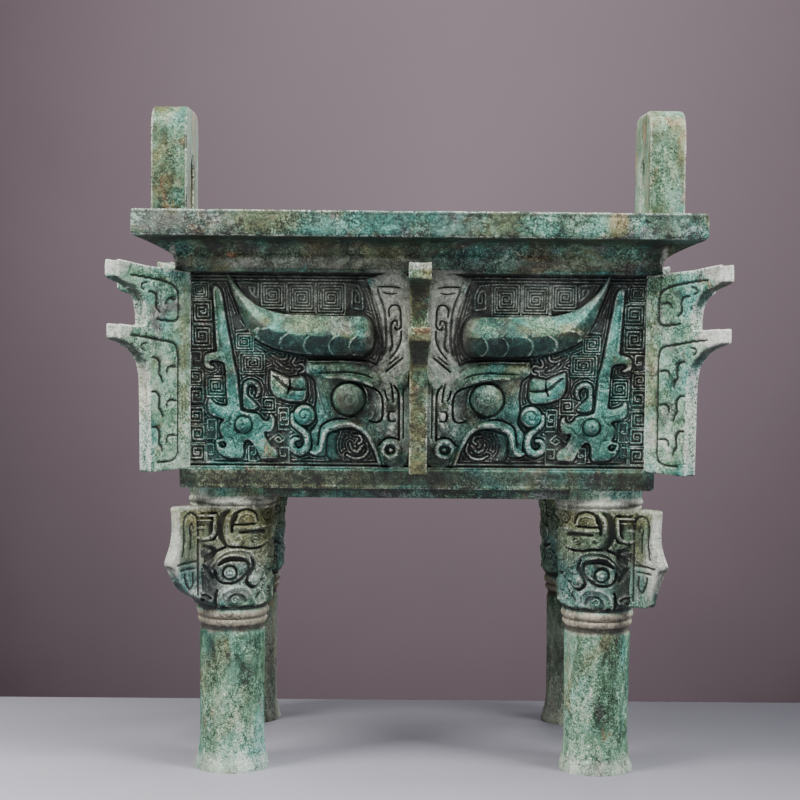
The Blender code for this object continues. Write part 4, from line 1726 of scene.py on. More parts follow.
    def build(self) -> Skin:
        """Carries the outline through the rows, and roughens it.

        The neck has fine level striations. The lip's edges are worn back unevenly: the loss is the
        edge value times a waviness that is only ever inwards.

        Returns:
            The skin.
        """
        rows = self.rows()
        z, length, width, radius, relief, hollow, edge = (rows[:, i, None] for i in range(7))
        place, heading = self.outline()
        x = (length - radius) * place[:, 0] + radius * heading[:, 0]
        y = (width - radius) * place[:, 1] + radius * heading[:, 1]
        shape = x.shape
        flat = coords(x, y, z).reshape(-1, 3)
        out = np.broadcast_to(coords(*heading.T, 0.0), (*shape, 3)).reshape(-1, 3)
        wide = waviness(flat, 30.0, 21).reshape(shape)
        fine = waviness(flat, 5.0, 22).reshape(shape)
        lip = (z > 241.4) & (length > 118)
        wear = np.where(lip, edge * np.clip(0.30 + 0.35 * wide + 0.35 * fine, 0, 1) * 0.9, 0)
        dents = np.where(lip | ((z > 227) & (z < 241)), 0.12 * (1 + fine) / 2, 0.0)
        lines = np.where((z > 227.8) & (z < 233.4), 0.10 * (1 + np.sin(z * 5.1)), 0.0)
        flat = flat - out * (wear + dents + lines).reshape(-1, 1)
        drop = np.where(lip & (z > 252.2), 0.45 * wear + 0.10 * (1 + wide) / 2, 0)
        flat[:, 2] -= drop.ravel()
        ring = np.arange(shape[1])[None, :]
        faces = [grid_faces(*shape, closed=True), ring[:, ::-1], ring + (shape[0] - 1) * shape[1]]
        values = (np.broadcast_to(column, shape).ravel() * 1.0 for column in (relief, hollow, edge))
        return Skin(flat, faces, *values)


# ------------------------------------------------------------------------- flat plates with a rim


@dataclass
class Plate:
    """A flat plate from its outline, with a rounded rim and relief on both faces, in mm.

    The rim is a profile carried round the outline: a quarter circle in from each face and a
    shallow channel between. Where the rim faces down it is painted darker and wears less pale:
    painted shade. The channel's shores stand at channel_share of the half thickness. Each face
    fills what is left, with points close together only where the relief changes. The thickness
    grows by flare between flare_from and flare_to.
    """

    outline: Points
    half_thickness: float
    rim: float = 0.9
    channel: float = 0.45
    channel_share: float = 0.42
    spacing: float = 0.7
    round_by: float = 0.8
    fine: float = 0.5
    grooves: Sequence[Points] = ()
    groove_depth: float = 1.3
    flare_from: float = 1e3
    flare: float = 0.0
    flare_to: float = 2e3
    wobble: float = 0.12

    def edge(self) -> Array:
        """The outline with rounded corners, sampled evenly.

        Returns:
            Rows of two coordinates.
        """
        p = np.asarray(self.outline, float)
        before, after = np.roll(p, 1, axis=0) - p, np.roll(p, -1, axis=0) - p
        sizes = (np.linalg.norm(side, axis=1, keepdims=True) for side in (before, after))
        a, b = (
            p + side / size * np.minimum(self.round_by, 0.45 * size)
            for side, size in zip((before, after), sizes)
        )
        t = np.linspace(0, 1, 5)[None, :, None]
        bends = (1 - t) ** 2 * a[:, None] + 2 * t * (1 - t) * p[:, None] + t**2 * b[:, None]
        path = bends.reshape(-1, 2)
        path = np.vstack([path, path[:1]])
        length = np.r_[0, np.cumsum(np.linalg.norm(np.diff(path, axis=0), axis=1))]
        count = int(length[-1] / self.spacing)
        at = np.linspace(0, length[-1], count, endpoint=False)
        return coords(*(np.interp(at, length, path[:, i]) for i in (0, 1)))

    def half(self, reach: Array) -> Array:
        """Half the thickness at a reach: even, then growing to the tips."""
        share = np.clip((reach - self.flare_from) / (self.flare_to - self.flare_from), 0, 1)
        return self.half_thickness + self.flare * share

    def build(self) -> Skin:
        """Makes the rim and both faces.

        Returns:
            The closed skin, its columns being outline x, outline y, and out from its middle plane.
        """
        ring = self.edge()
        tangent = np.roll(ring, -1, axis=0) - np.roll(ring, 1, axis=0)
        tangent /= np.linalg.norm(tangent, axis=1, keepdims=True)
        x, y = ring.T
        area = float(np.sum(x * np.roll(y, -1) - np.roll(x, -1) * y))
        inward = coords(-tangent[:, 1], tangent[:, 0]) * np.sign(area)

        low = ring.min(axis=0) - 2.0
        size = ring.max(axis=0) + 2.0 - low
        r = Relief(float(size[0]), 0.0, float(size[1]), self.fine)
        for groove in self.grooves:
            path = np.array(groove, float)
            path[:, :2] -= low
            r.add_stroke(path, -self.groove_depth)
        r.height = np.maximum(blurred(r.height, 0.35), -self.groove_depth)
        inside = measure_outline(r.u, r.v, ring - low)
        angle = np.radians([90, 60, 30, 0])
        shore = self.channel_share * self.half_thickness - self.half_thickness
        backs = mirrored(np.r_[self.rim * (1 - np.cos(angle)), self.channel])
        outs = mirrored(np.r_[self.rim * (np.sin(angle) - 1), shore])
        hands = np.r_[np.ones(5), -np.ones(5)]
        rows = ring[None] + inward[None] * backs[:, None, None]
        half = self.half(rows[..., 0])
        rim = coords(rows[..., 0], rows[..., 1], hands[:, None] * (half + outs[:, None]))
        # Painted shade: rim rows that face down are darker and wear less pale
        under = smoothstep((inward[:, 1] - 0.15) / 0.5)
        wear = mirrored(np.array([0.5, 1, 1, 0.8, 0.6]))[:, None] * (1 - 0.5 * under)
        shaded = mirrored(np.array([0.2, 0.4, 0.5, 0.6, 0.7]))[:, None] * under

        busy = (np.abs(np.gradient(r.height)).sum(axis=0) > 0.03) | (r.height < -0.05)
        sparse = np.zeros(busy.shape, bool)
        sparse[::4, ::4] = True
        keep = (busy | sparse) & (inside > self.rim + 0.7 * self.fine)
        middle = coords(r.u[keep] + low[0], r.v[keep] + low[1])
        depth = r.height[keep]
        flat = np.vstack([rows[0], middle])
        count = len(ring)
        _, _, triangles, *_ = delaunay_2d_cdt(
            [Vector(point) for point in flat], [], [list(range(count))], 1, 1e-5
        )
        corners = np.array([triangle for triangle in triangles if len(triangle) == 3])
        a, b, c = (flat[corners[:, i]] for i in range(3))
        turn = (b[:, 0] - a[:, 0]) * (c[:, 1] - a[:, 1]) - (b[:, 1] - a[:, 1]) * (c[:, 0] - a[:, 0])
        corners[turn < 0] = corners[turn < 0][:, ::-1]

        total = rim.shape[0] * count
        front = coords(*middle.T, self.half(middle[:, 0]) + depth)
        back = front * (1, 1, -1)
        points = np.vstack([rim.reshape(-1, 3), front, back])
        ends, inner = np.arange(count), total + np.arange(len(middle))
        to_front, to_back = np.r_[ends, inner], np.r_[ends + total - count, inner + len(middle)]
        around = grid_faces(rim.shape[0], count, closed=True)
        around = around if area > 0 else around[:, ::-1]
        faces = [around[:, ::-1], to_front[corners], to_back[corners][:, ::-1]]
        points[:, 2] += 0.5 * self.wobble * waviness(points, 14.0, 5)
        sunk = np.clip(-depth / self.groove_depth * 1.3, 0, 1)
        near = np.clip(1 - (inside[keep] - self.rim) / 1.5, 0, 1) * 0.5
        hollow = np.r_[shaded.ravel(), sunk, sunk]
        edge = np.r_[wear.ravel(), near, near]
        return Skin(points, faces, np.full(len(points), 0.6), hollow, edge)


def standing(corner: Sequence[float], heading: float, drop: float = 0.0) -> Place:
    """How a plate's flat pattern stands out from the vessel.

    Args:
        corner: the x and y that its reach is measured from, mm.
        heading: the direction of its reach, degrees from +X.
        drop: how much lower it is set, mm.

    Returns:
        The move from reach, height and across.
    """
    c, s = np.cos(np.radians(heading)), np.sin(np.radians(heading))

    def place(reach: Array, height: Array, across: Array) -> Array:
        """Moves flat points to the corner.

        Args:
            reach: how far out along the heading, mm.
            height: above the ground, before the drop, mm.
            across: to the right of the heading, mm.

        Returns:
            The points in space.
        """
        x = corner[0] + reach * c + across * s
        y = corner[1] + reach * s - across * c
        return coords(x, y, height - drop)

    return place


@dataclass
class HookedFlanges:
    """The eight hooked flanges, all from one pattern of reach and height, mm."""

    outline: Points = (
        (-5, 226), (0, 226.2), (10, 227.4), (20, 228.4), (28, 229.8), (35.8, 231.0), (36, 228),
        (36, 223.4), (33, 221.8), (29.5, 220.6), (26.5, 219), (23.6, 216.4), (21.6, 213),
        (20.7, 208), (20.5, 202.4), (27, 202.6), (35.2, 203.4), (35.2, 196.8), (31.8, 195.6),
        (28.2, 194.4), (25, 192.4), (22.3, 189.6), (20, 186), (18.9, 181), (18.4, 174),
        (17.9, 138.2), (8, 138.5), (-5, 138.8),
    )
    frames: Sequence[Points] = (
        ((28.6, 224.3, 0.5), (19.7, 223.2, 0.6), (11.9, 221.9, 0.6), (6.3, 220.4, 0.6),
         (3.5, 218.6, 0.6), (2.3, 215.1, 0.6), (2.1, 208.1, 0.6), (3, 204.8, 0.6),
         (6.3, 204.1, 0.6), (14, 205, 0.5)),
        ((18.4, 217, 0.5), (15.5, 216.6, 0.65), (14.1, 214.2, 0.75), (14.6, 210.8, 0.75),
         (12.5, 208.1, 0.5)),
        ((3.8, 213.5, 0.5), (7.4, 213.9, 0.65), (9.4, 212, 0.5)),
        ((28.6, 198.4, 0.5), (19.7, 197.3, 0.6), (11.9, 195.8, 0.6), (5.7, 194.8, 0.6),
         (3, 192.5, 0.6), (2.3, 186.4, 0.6), (2.2, 168, 0.6), (2.2, 150, 0.6), (3, 144.6, 0.6),
         (6.5, 142.6, 0.6), (13.5, 142.4, 0.5)),
    )
    curl: Points = ((19.4, 221, 0.45), (22, 220.6, 0.6), (22.6, 219, 0.55), (21, 217.8, 0.4))
    curl_drops: Sequence[float] = (0.0, 26.2)
    hook: Sequence[Points] = (
        ((16.6, 188.4, 0.5), (14.1, 188.1, 0.65), (12.6, 186.3, 0.8), (12.3, 183.6, 0.8),
         (12.8, 181.4, 0.7), (11.4, 179.5, 0.7), (10.8, 177.2, 0.5)),
        ((3.4, 183.9, 0.5), (6.1, 184.3, 0.65), (8.2, 183.4, 0.65), (8.5, 181.2, 0.5)),
    )
    hook_drops: Sequence[float] = (0.0, 14.9, 30.2)
    side_drop: float = 6.0
    half_thickness: float = 3.9
    flare: float = 1.1
    flare_from: float = 20.0
    flare_to: float = 36.0

    def pattern(self) -> Skin:
        """Builds one flange flat: the curl is cut in both panels, the hook three times in the lower.

        Returns:
            Its skin, as a plate makes it.
        """
        curls = [np.array(self.curl) - (0, drop, 0) for drop in self.curl_drops]
        hooks = [np.array(part) - (0, drop, 0) for drop in self.hook_drops for part in self.hook]
        grooves = (*self.frames, *curls, *hooks)
        return Plate(
            self.outline, self.half_thickness, grooves=grooves, flare=self.flare,
            flare_from=self.flare_from, flare_to=self.flare_to,
        ).build()

    def places(self) -> dict[str, Place]:
        """Where each flange stands.

        Returns:
            The flanges' names and moves.
        """
        x, y = float(SIZES.half_length(SIZES.middle)), float(SIZES.half_width(SIZES.middle))
        corners = {f"flange_{name}": standing((i * x, j * y), turn) for name, i, j, turn in CORNERS}
        return corners | {
            "flange_front": standing((0, -y), -90),
            "flange_back": standing((0, y), 90),
            "flange_left": standing((-x, 0), 180, self.side_drop),
            "flange_right": standing((x, 0), 0, self.side_drop),
        }


@dataclass
class LoopEars:
    """The two upright loops: a rounded section carried from foot to foot over the arch, mm."""

    half_width: float = 27.0
    height: float = 50.0
    corner: float = 12.0
    half_thickness: float = 8.5
    hole_half_width: float = 8.5
    hole_height: float = 27.0
    centre: float = 115.7
    bevel: float = 1.3
    sunk: float = 2.0

    def arch(self) -> tuple[Array, Array]:
        """The outer and inner outlines, foot to foot, matched sample by sample.

        Returns:
            Rows of along and up for each.
        """
        foot = np.linspace(0, 1, 18)[:-1]
        bend, turn = (np.radians(np.linspace(0, 90, count)) for count in (13, 21))
        side, spring = self.height - self.corner, self.hole_height - self.hole_half_width
        rounding = self.corner * (1 - np.cos(bend))
        outer = np.vstack([
            coords(self.half_width, (side + self.sunk) * foot - self.sunk),
            coords(self.half_width - rounding, side + self.corner * np.sin(bend)),
            coords(np.linspace(self.half_width - self.corner, 0, 9)[1:], self.height),
        ])
        inner = np.vstack([
            coords(self.hole_half_width, (spring + self.sunk) * foot - self.sunk),
            self.hole_half_width * coords(np.cos(turn), np.sin(turn)) + (0, spring),
        ])
        return tuple(np.vstack([half, (half * (-1, 1))[::-1][1:]]) for half in (outer, inner))

    def build(self) -> Skin:
        """One ear, facing along X about its own middle plane.

        The section is a rectangle whose corners are cut back by the bevel, and its faces are pressed
        in a little, unevenly.

        Returns:
            The skin, in x, y and height above the rim.
        """
        outer, inner = self.arch()
        b, t = self.bevel, self.half_thickness
        depth = np.array([0, t - b, t - 0.38 * b, t, t, t])
        depth = np.r_[depth, t, depth[::-1]]
        span = np.linalg.norm(outer - inner, axis=1)[:, None]
        inset = np.array([0, 0, 0.38 * b, b, 0, 0, 0, 0, 0, -b, -0.38 * b, 0, 0])[None]
        flat = np.array([0, 0, 0, 0, 0.12, 0.35, 0.5, 0.65, 0.88, 1, 1, 1, 1])[None]
        mix = flat + inset / span
        across = outer[:, None] * (1 - mix[..., None]) + inner[:, None] * mix[..., None]
        front = coords(depth, across[..., 0], across[..., 1])
        back = (front * (-1, 1, 1))[:, ::-1][:, 1:-1]
        loop = np.concatenate([front, back], axis=1)
        points = loop.reshape(-1, 3).copy()
        worn = np.array([0.1, 0.4, 1, 0.6, 0, 0])
        worn = np.r_[worn, 0, worn[::-1]]
        edge = np.broadcast_to(np.r_[worn, worn[1:-1]], loop.shape[:2]).ravel() * 1.0
        points[:, 0] -= np.sign(points[:, 0]) * 0.12 * (1 + waviness(points, 6.0, 41))
        faces = grid_faces(loop.shape[0], loop.shape[1], closed=True)
        return Skin(points, [faces], np.full(len(points), 0.6), np.zeros(len(points)), edge)

    def place(self, hand: int) -> Place:
        """The move of one ear onto the lip.

        Args:
            hand: 1 for the right ear, -1 for the left.

        Returns:
            The move; the left one is turned half round.
        """

        def move(x: Array, y: Array, up: Array) -> Array:
            """Sets the ear on its end of the lip."""
            return coords(hand * (self.centre + x), hand * y, SIZES.rim_top + up)

        return move


# ---------------------------------------------------------------------------------------- the legs


@dataclass
class MaskedLeg:
    """A turned leg with a horned mask on both sides of its flange, mm.

    The sheet's u is the distance round the leg from the flange at the girth's radius, and v the
    height above the mask's foot. curls have a centre, a radius and a number of turns, and grooved
    says how hollow the rings below the mask are at each v.
    """

    triangles: int = 26000
    girth: float = 17.0
    foot: float = 77.0
    sole: float = 16.9
    profile: Points = (
        (0, 17.0), (1.2, 16.9), (6.5, 15.5), (11, 14.9), (16, 14.6), (40, 14.7), (58, 14.9),
        (62.6, 15), (63.6, 14.7), (64.8, 14.3), (66.4, 14.5), (67.2, 15.5), (68.4, 15.9),
        (69.2, 15.7), (69.8, 15.0), (70.4, 15.2), (71, 16.2), (72.3, 16.5), (73.6, 16.1),
        (74.4, 15.2), (75.6, 15.0), (76.6, 15.6), (77.6, 15.9), (99, 16.9), (120.6, 17.8),
        (121.6, 19.1), (122.6, 20.1), (123.4, 20.2), (124.6, 19.5), (130.4, 19.7),
    )
    ridges: Sequence[Points] = (
        ((15, 41.7, 1.2), (13.1, 39.2, 1.4), (12.3, 34.7, 1.5), (12.6, 30.9, 1.5),
         (14.5, 28, 1.4), (17, 27.4, 1.3), (18.3, 29, 1.1), (17, 30.9, 0.9), (15.7, 29.9, 0.7)),
        ((14.5, 34.5, 0.9), (24, 34.5, 0.9), (32.7, 35, 1), (36.1, 32.2, 1.1),
         (32.3, 27.7, 1), (26.5, 26.4, 0.9)),
        ((16.2, 36.9, 0.7), (17.2, 39.7, 0.8), (20.2, 41, 0.8), (23, 39.7, 0.8), (24, 37, 0.7)),
        ((5.6, 17, 0.6), (9, 21.6, 0.9), (13.2, 24.4, 1), (18, 24.8, 1), (22.6, 23, 0.9),
         (23.6, 20.4, 0.6)),
        ((8.4, 19.2, 0.5), (12, 22, 0.7), (16, 22.4, 0.7), (20.6, 21.2, 0.6)),
        ((26, 20, 1), (29.1, 17.5, 1.1), (25.4, 14.9, 0.9)),
        ((8.6, -1, 1), (9.6, 3.6, 1.2), (12.4, 6.4, 1.3), (17, 7.7, 1.4), (21.4, 6.2, 1.3),
         (23.6, 2.5, 1.1), (26, -0.6, 0.9)),
        ((25.9, 7.3, 1), (29.1, 4.1, 1.1), (30.1, 0.3, 1), (25.4, -1, 0.8)),
        ((7.4, 40.1, 0.7), (7.2, 37.3, 0.8), (6.8, 32.2, 0.8), (4.8, 29.9, 0.8),
         (1.8, 29.9, 0.8), (0.2, 31.8, 0.8), (0.8, 34.1, 0.8), (2.8, 34.7, 0.7)),
        ((-0.2, 40, 0.55), (6.8, 40, 0.55)),
        ((-0.2, 37.9, 0.5), (5.4, 37.9, 0.5)),
        ((33, 8, 1), (37, 11, 1.2), (41, 9, 1.1), (42.5, 4, 1), (39, 1, 0.8)),
        ((38.5, 33, 0.9), (41.5, 36, 1), (44.5, 34, 1), (45, 30, 0.9), (42.5, 28.5, 0.8)),
        ((42, 22, 0.9), (46, 24, 1), (49.5, 21.5, 1), (49.5, 17, 0.9), (46, 15.5, 0.8)),
    )
    cuts: Sequence[Points] = (
        ((13, 42.3, 0.6), (10.9, 40.7, 1), (9.6, 37.1, 1.3), (9.1, 33.2, 1.2), (10.3, 29, 0.9),
         (12.9, 26.2, 0.6), (17.9, 25.8, 0.5), (24.1, 25, 0.5), (30.4, 26.4, 0.6),
         (36.6, 29.9, 0.6), (38, 34.3, 0.5)),
        ((15.6, 41.5, 0.5), (14.4, 37.3, 0.75), (14.2, 32.9, 0.5)),
        ((15, 36.2, 0.4), (19.4, 36, 0.45), (24.6, 36.2, 0.4)),
        ((17.6, 32.5, 0.5), (21.9, 32.6, 0.8), (29.4, 32.3, 0.8)),
        ((15.7, 38.2, 0.4), (16.4, 41.4, 0.5), (20.2, 42.9, 0.5), (24.2, 41.2, 0.5),
         (25.6, 37.4, 0.4)),
        ((-1.5, 28.7, 0.5), (2.9, 26.5, 0.8), (6.7, 24.2, 0.8), (4.3, 20.6, 0.8), (0.9, 18, 0.5)),
        ((1.3, 19.2, 0.4), (6.6, 23.4, 0.6), (11.8, 26, 0.5)),
        ((8.3, 17.6, 0.5), (11.8, 20, 0.9), (15.7, 20.6, 1), (20.8, 19.3, 0.7), (21.6, 16, 0.7),
         (19.6, 12.6, 0.7), (15.4, 9.8, 0.6), (10.2, 9.6, 0.5), (7.4, 12, 0.6), (7, 15, 0.5)),
        ((3.5, 17.3, 0.5), (4.4, 14.8, 0.8), (5.6, 11.8, 0.6)),
        ((22.9, 21, 0.5), (24, 17, 0.9), (21.9, 13.1, 0.6), (20.9, 9.9, 0.7), (24.4, 7.5, 0.8),
         (28.6, 10.6, 0.7)),
        ((29.9, 7.6, 0.5), (27.6, 4.6, 0.7), (25.8, 2.6, 0.5)),
        ((-1, 9.2, 0.5), (-0.9, 4.2, 0.8), (-0.6, -0.3, 0.5)),
        ((7.6, 6.2, 0.4), (6.7, 2.4, 0.7), (6.8, -1.1, 0.5)),
        ((32, 12, 0.6), (36, 14, 0.7), (42, 12.6, 0.7), (45.4, 6, 0.6)),
        ((36, 37.6, 0.6), (41, 39, 0.7), (47, 36, 0.7), (48, 29, 0.6)),
        ((40, 18, 0.6), (45, 12.8, 0.7), (50.6, 14, 0.6)),
    )
    hook_ground: Points = (
        (-2, 41.6), (4, 41.7), (8.7, 41.4), (8.6, 33.2), (6.8, 28.6), (0, 28.2), (-2, 33),
    )
    lens: Points = ((11.4, -0.6), (13, 3.8), (16.8, 5.4), (20.4, 4), (21.6, 0.6), (16, -1.4))
    leaf: Points = ((29.8, 21.3), (39.3, 24.2), (39.3, 20), (38.3, 16.2), (30.5, 14.9))
    eye: Sequence[float] = (13.4, 14.3)
    curls: Sequence[tuple] = (
        ((20.2, 38.4), 1.5, 1.2), ((24.6, 29.4), 2.6, 1.7), ((31.0, 39.5), 3.2, 1.7),
        ((38.0, 41.5), 1.8, 1.4), ((44.8, 41.0), 2.6, -1.4), ((33.8, 4.0), 2.2, 1.2),
        ((36.0, 26.2), 2.2, 1.4), ((50.2, 8.5), 3.0, 1.5), ((50.2, 30.5), 3.0, -1.5),
        ((15.6, 1.8), 1.7, 1.2), ((33.0, 12.6), 2.2, 1.3), ((41.8, 32.2), 1.5, 1.0),
    )
    grooved: Points = (
        (-14, 0), (-12.6, 0.7), (-10.6, 0.7), (-9.6, 0), (-8.0, 0), (-7.2, 0.7), (-6.4, 0),
        (-3.8, 0), (-2.6, 0.8), (-0.8, 0.8), (0.4, 0),
    )

    def radius(self, z: Array) -> Array:
        """The turned profile's radius at a height."""
        heights, radii = np.array(self.profile).T
        return np.interp(z, heights, radii)

    def carve(self) -> Relief:
        """Lays the mask on the sheet: a raised skin, ridges on it, and grooves cut deep round them.

        Returns:
            The sheet of heights above the turned profile.
        """
        r = Relief(float(np.pi * self.girth), -self.foot, self.profile[-1][0] - self.foot, 0.32)
        band = smoothstep((r.v + 1.8) / 0.8) * smoothstep((44.6 - r.v) / 0.8)
        noise = r.roughness(4.5, 31)
        r.height = band * (1.5 + 0.15 * noise)
        r.sink(self.hook_ground, 0.1, 0.5)
        r.sink(self.lens, 0.1, 0.5)
        for path in self.ridges:
            r.raise_stroke(path, 2.4)
        r.plate(self.leaf, 2.3, 0.6)
        r.cut_strokes([np.array(path) * (1, 1, 1.3) for path in self.cuts], 2.1)
        r.cut_strokes((((31, 20.3, 0.3), (35, 19.6, 0.5), (38, 19, 0.3)),), 0.8)
        for centre, size, turns in self.curls:
            r.add_stroke(r.curl(centre, size, 30, turns, 0.5), 0.8 if size < 1.8 else -1.1)
        r.dome((2.9, 2.6), 3.4, 3.0, 1.0)
        r.add_stroke(r.curl((2.9, 2.6), 2.0, 0, 0.9, 0.7), -1.6)
        r.dome((24.6, 11.0), 2.9, 3.0, 0.8)
        r.dome((27.3, 18.4), 1.9, 2.8, 1.2)
        r.ring(self.eye, 3.1, 0.6, -1.2)
        r.dome(self.eye, 2.4, 3.4, 1.4)
        r.ring(self.eye, 1.2, 0.35, -0.5)
        # Painted shade in the channel beside the flange, on the mask's lower part
        r.shade = 0.75 * band * smoothstep((10 - r.u) / 5) * smoothstep((29 - r.v) / 5)
        collar = smoothstep((r.v + 2.9) / 0.5) * smoothstep((-1.4 - r.v) / 0.5)
        r.height = np.maximum(r.height, 0.7 * collar)
        swell = 3.4 * smoothstep((7.0 - r.u) / 5.0)
        r.height += swell * smoothstep((r.v + 2) / 6) * smoothstep((46 - r.v) / 4)
        r.height += 0.10 * (1 - band) * noise
        return r

    def build(self) -> Skin:
        """Both halves of the leg about its own axis, its flange heading along +X.

        Returns:
            The skin.
        """
        r = self.carve()
        relief, hollow, edge = r.wear(2.4)
        hollow = np.maximum(hollow, np.interp(r.v, *np.array(self.grooved).T))
        depth = r.height + self.radius(r.v + self.foot)
        flat = r.skin(depth, (relief, hollow, edge), self.triangles)

        def wrap(hand: int) -> Place:
            """The move of a flat half round the axis.

            Args:
                hand: 1 or -1, for the two sides of the flange.

            Returns:
                The move.
            """

            def place(u: Array, v: Array, h: Array) -> Array:
                """Turns the distance round the leg into an angle."""
                angle = hand * u / self.girth
                return coords(h * np.cos(angle), h * np.sin(angle), v + self.foot)

            return place

        both = flat.placed(wrap(1)).joined(flat.placed(wrap(-1), flip=True))
        angle = np.linspace(0, 2 * np.pi, 64, endpoint=False)
        ring = coords(self.sole * np.cos(angle), self.sole * np.sin(angle), 0.0)
        sole = np.vstack([np.zeros((1, 3)), ring])
        number = np.arange(1, 65)
        fan = coords(0, np.roll(number, -1), number)
        return both.joined(Skin.plain(sole, [fan], (0.3, 0.1, 0.3)))


@dataclass
class LegFlanges:
    """The pointed flange down each leg's mask, as reach from the leg's axis and height, mm."""

    outline: Points = (
        (11, 121.0), (24, 121.3), (34.6, 121.4), (34.0, 115.5), (33.7, 110), (34.2, 106),
        (35.2, 102.4), (36.9, 99), (38.3, 95.8), (36.6, 94), (35.2, 91), (33.6, 87), (32.2, 82.6),
        (31.0, 77.6), (22, 77.1), (11, 76.9),
    )
    broken: Points = (
        (11, 121.0), (24, 121.3), (34.4, 121.4), (33.8, 115.5), (33.6, 110), (34.2, 106),
        (35.2, 102.4), (36.9, 99), (38.2, 95.8), (36.4, 94), (35.0, 91), (33.2, 87.6),
        (30.2, 84.0), (26.5, 81.4), (22, 79.4), (11, 78.6),
    )
    grooves: Sequence[Points] = (
        ((22.8, 80, 0.6), (22.8, 98.5, 0.7), (22.9, 114, 0.7), (24.8, 117.6, 0.6), (27.2, 118.5, 0.6),
         (29.8, 117.4, 0.6), (31, 114, 0.6), (30.8, 106, 0.6), (31.6, 99.4, 0.5)),
        ((25.6, 111.2, 0.4), (26.4, 113.6, 0.5), (27.6, 112.6, 0.5), (27.2, 108, 0.65),
         (27.4, 102, 0.5)),
        ((23.4, 96.4, 0.5), (29, 96.2, 0.55), (34.4, 95.6, 0.5)),
        ((24.6, 93.4, 0.4), (29, 93.4, 0.5), (32.6, 93, 0.4)),
        ((30.4, 91.4, 0.5), (29.6, 87.5, 0.6), (27.6, 84.4, 0.6), (25.6, 86.6, 0.6),
         (25.6, 91.4, 0.5)),
    )

    half_thickness: float = 3.1
    groove_depth: float = 1.1
    round_by: float = 1.6

    def pattern(self, outline: Points) -> Skin:
        """Builds one flange flat.

        Args:
            outline: the full outline or the broken one.

        Returns:
            Its skin, as a plate makes it.
        """
        return Plate(
            outline, self.half_thickness, spacing=1.0, round_by=self.round_by,
            grooves=self.grooves, groove_depth=self.groove_depth,
        ).build()


# ---------------------------------------------------------------------------------- the whole ding


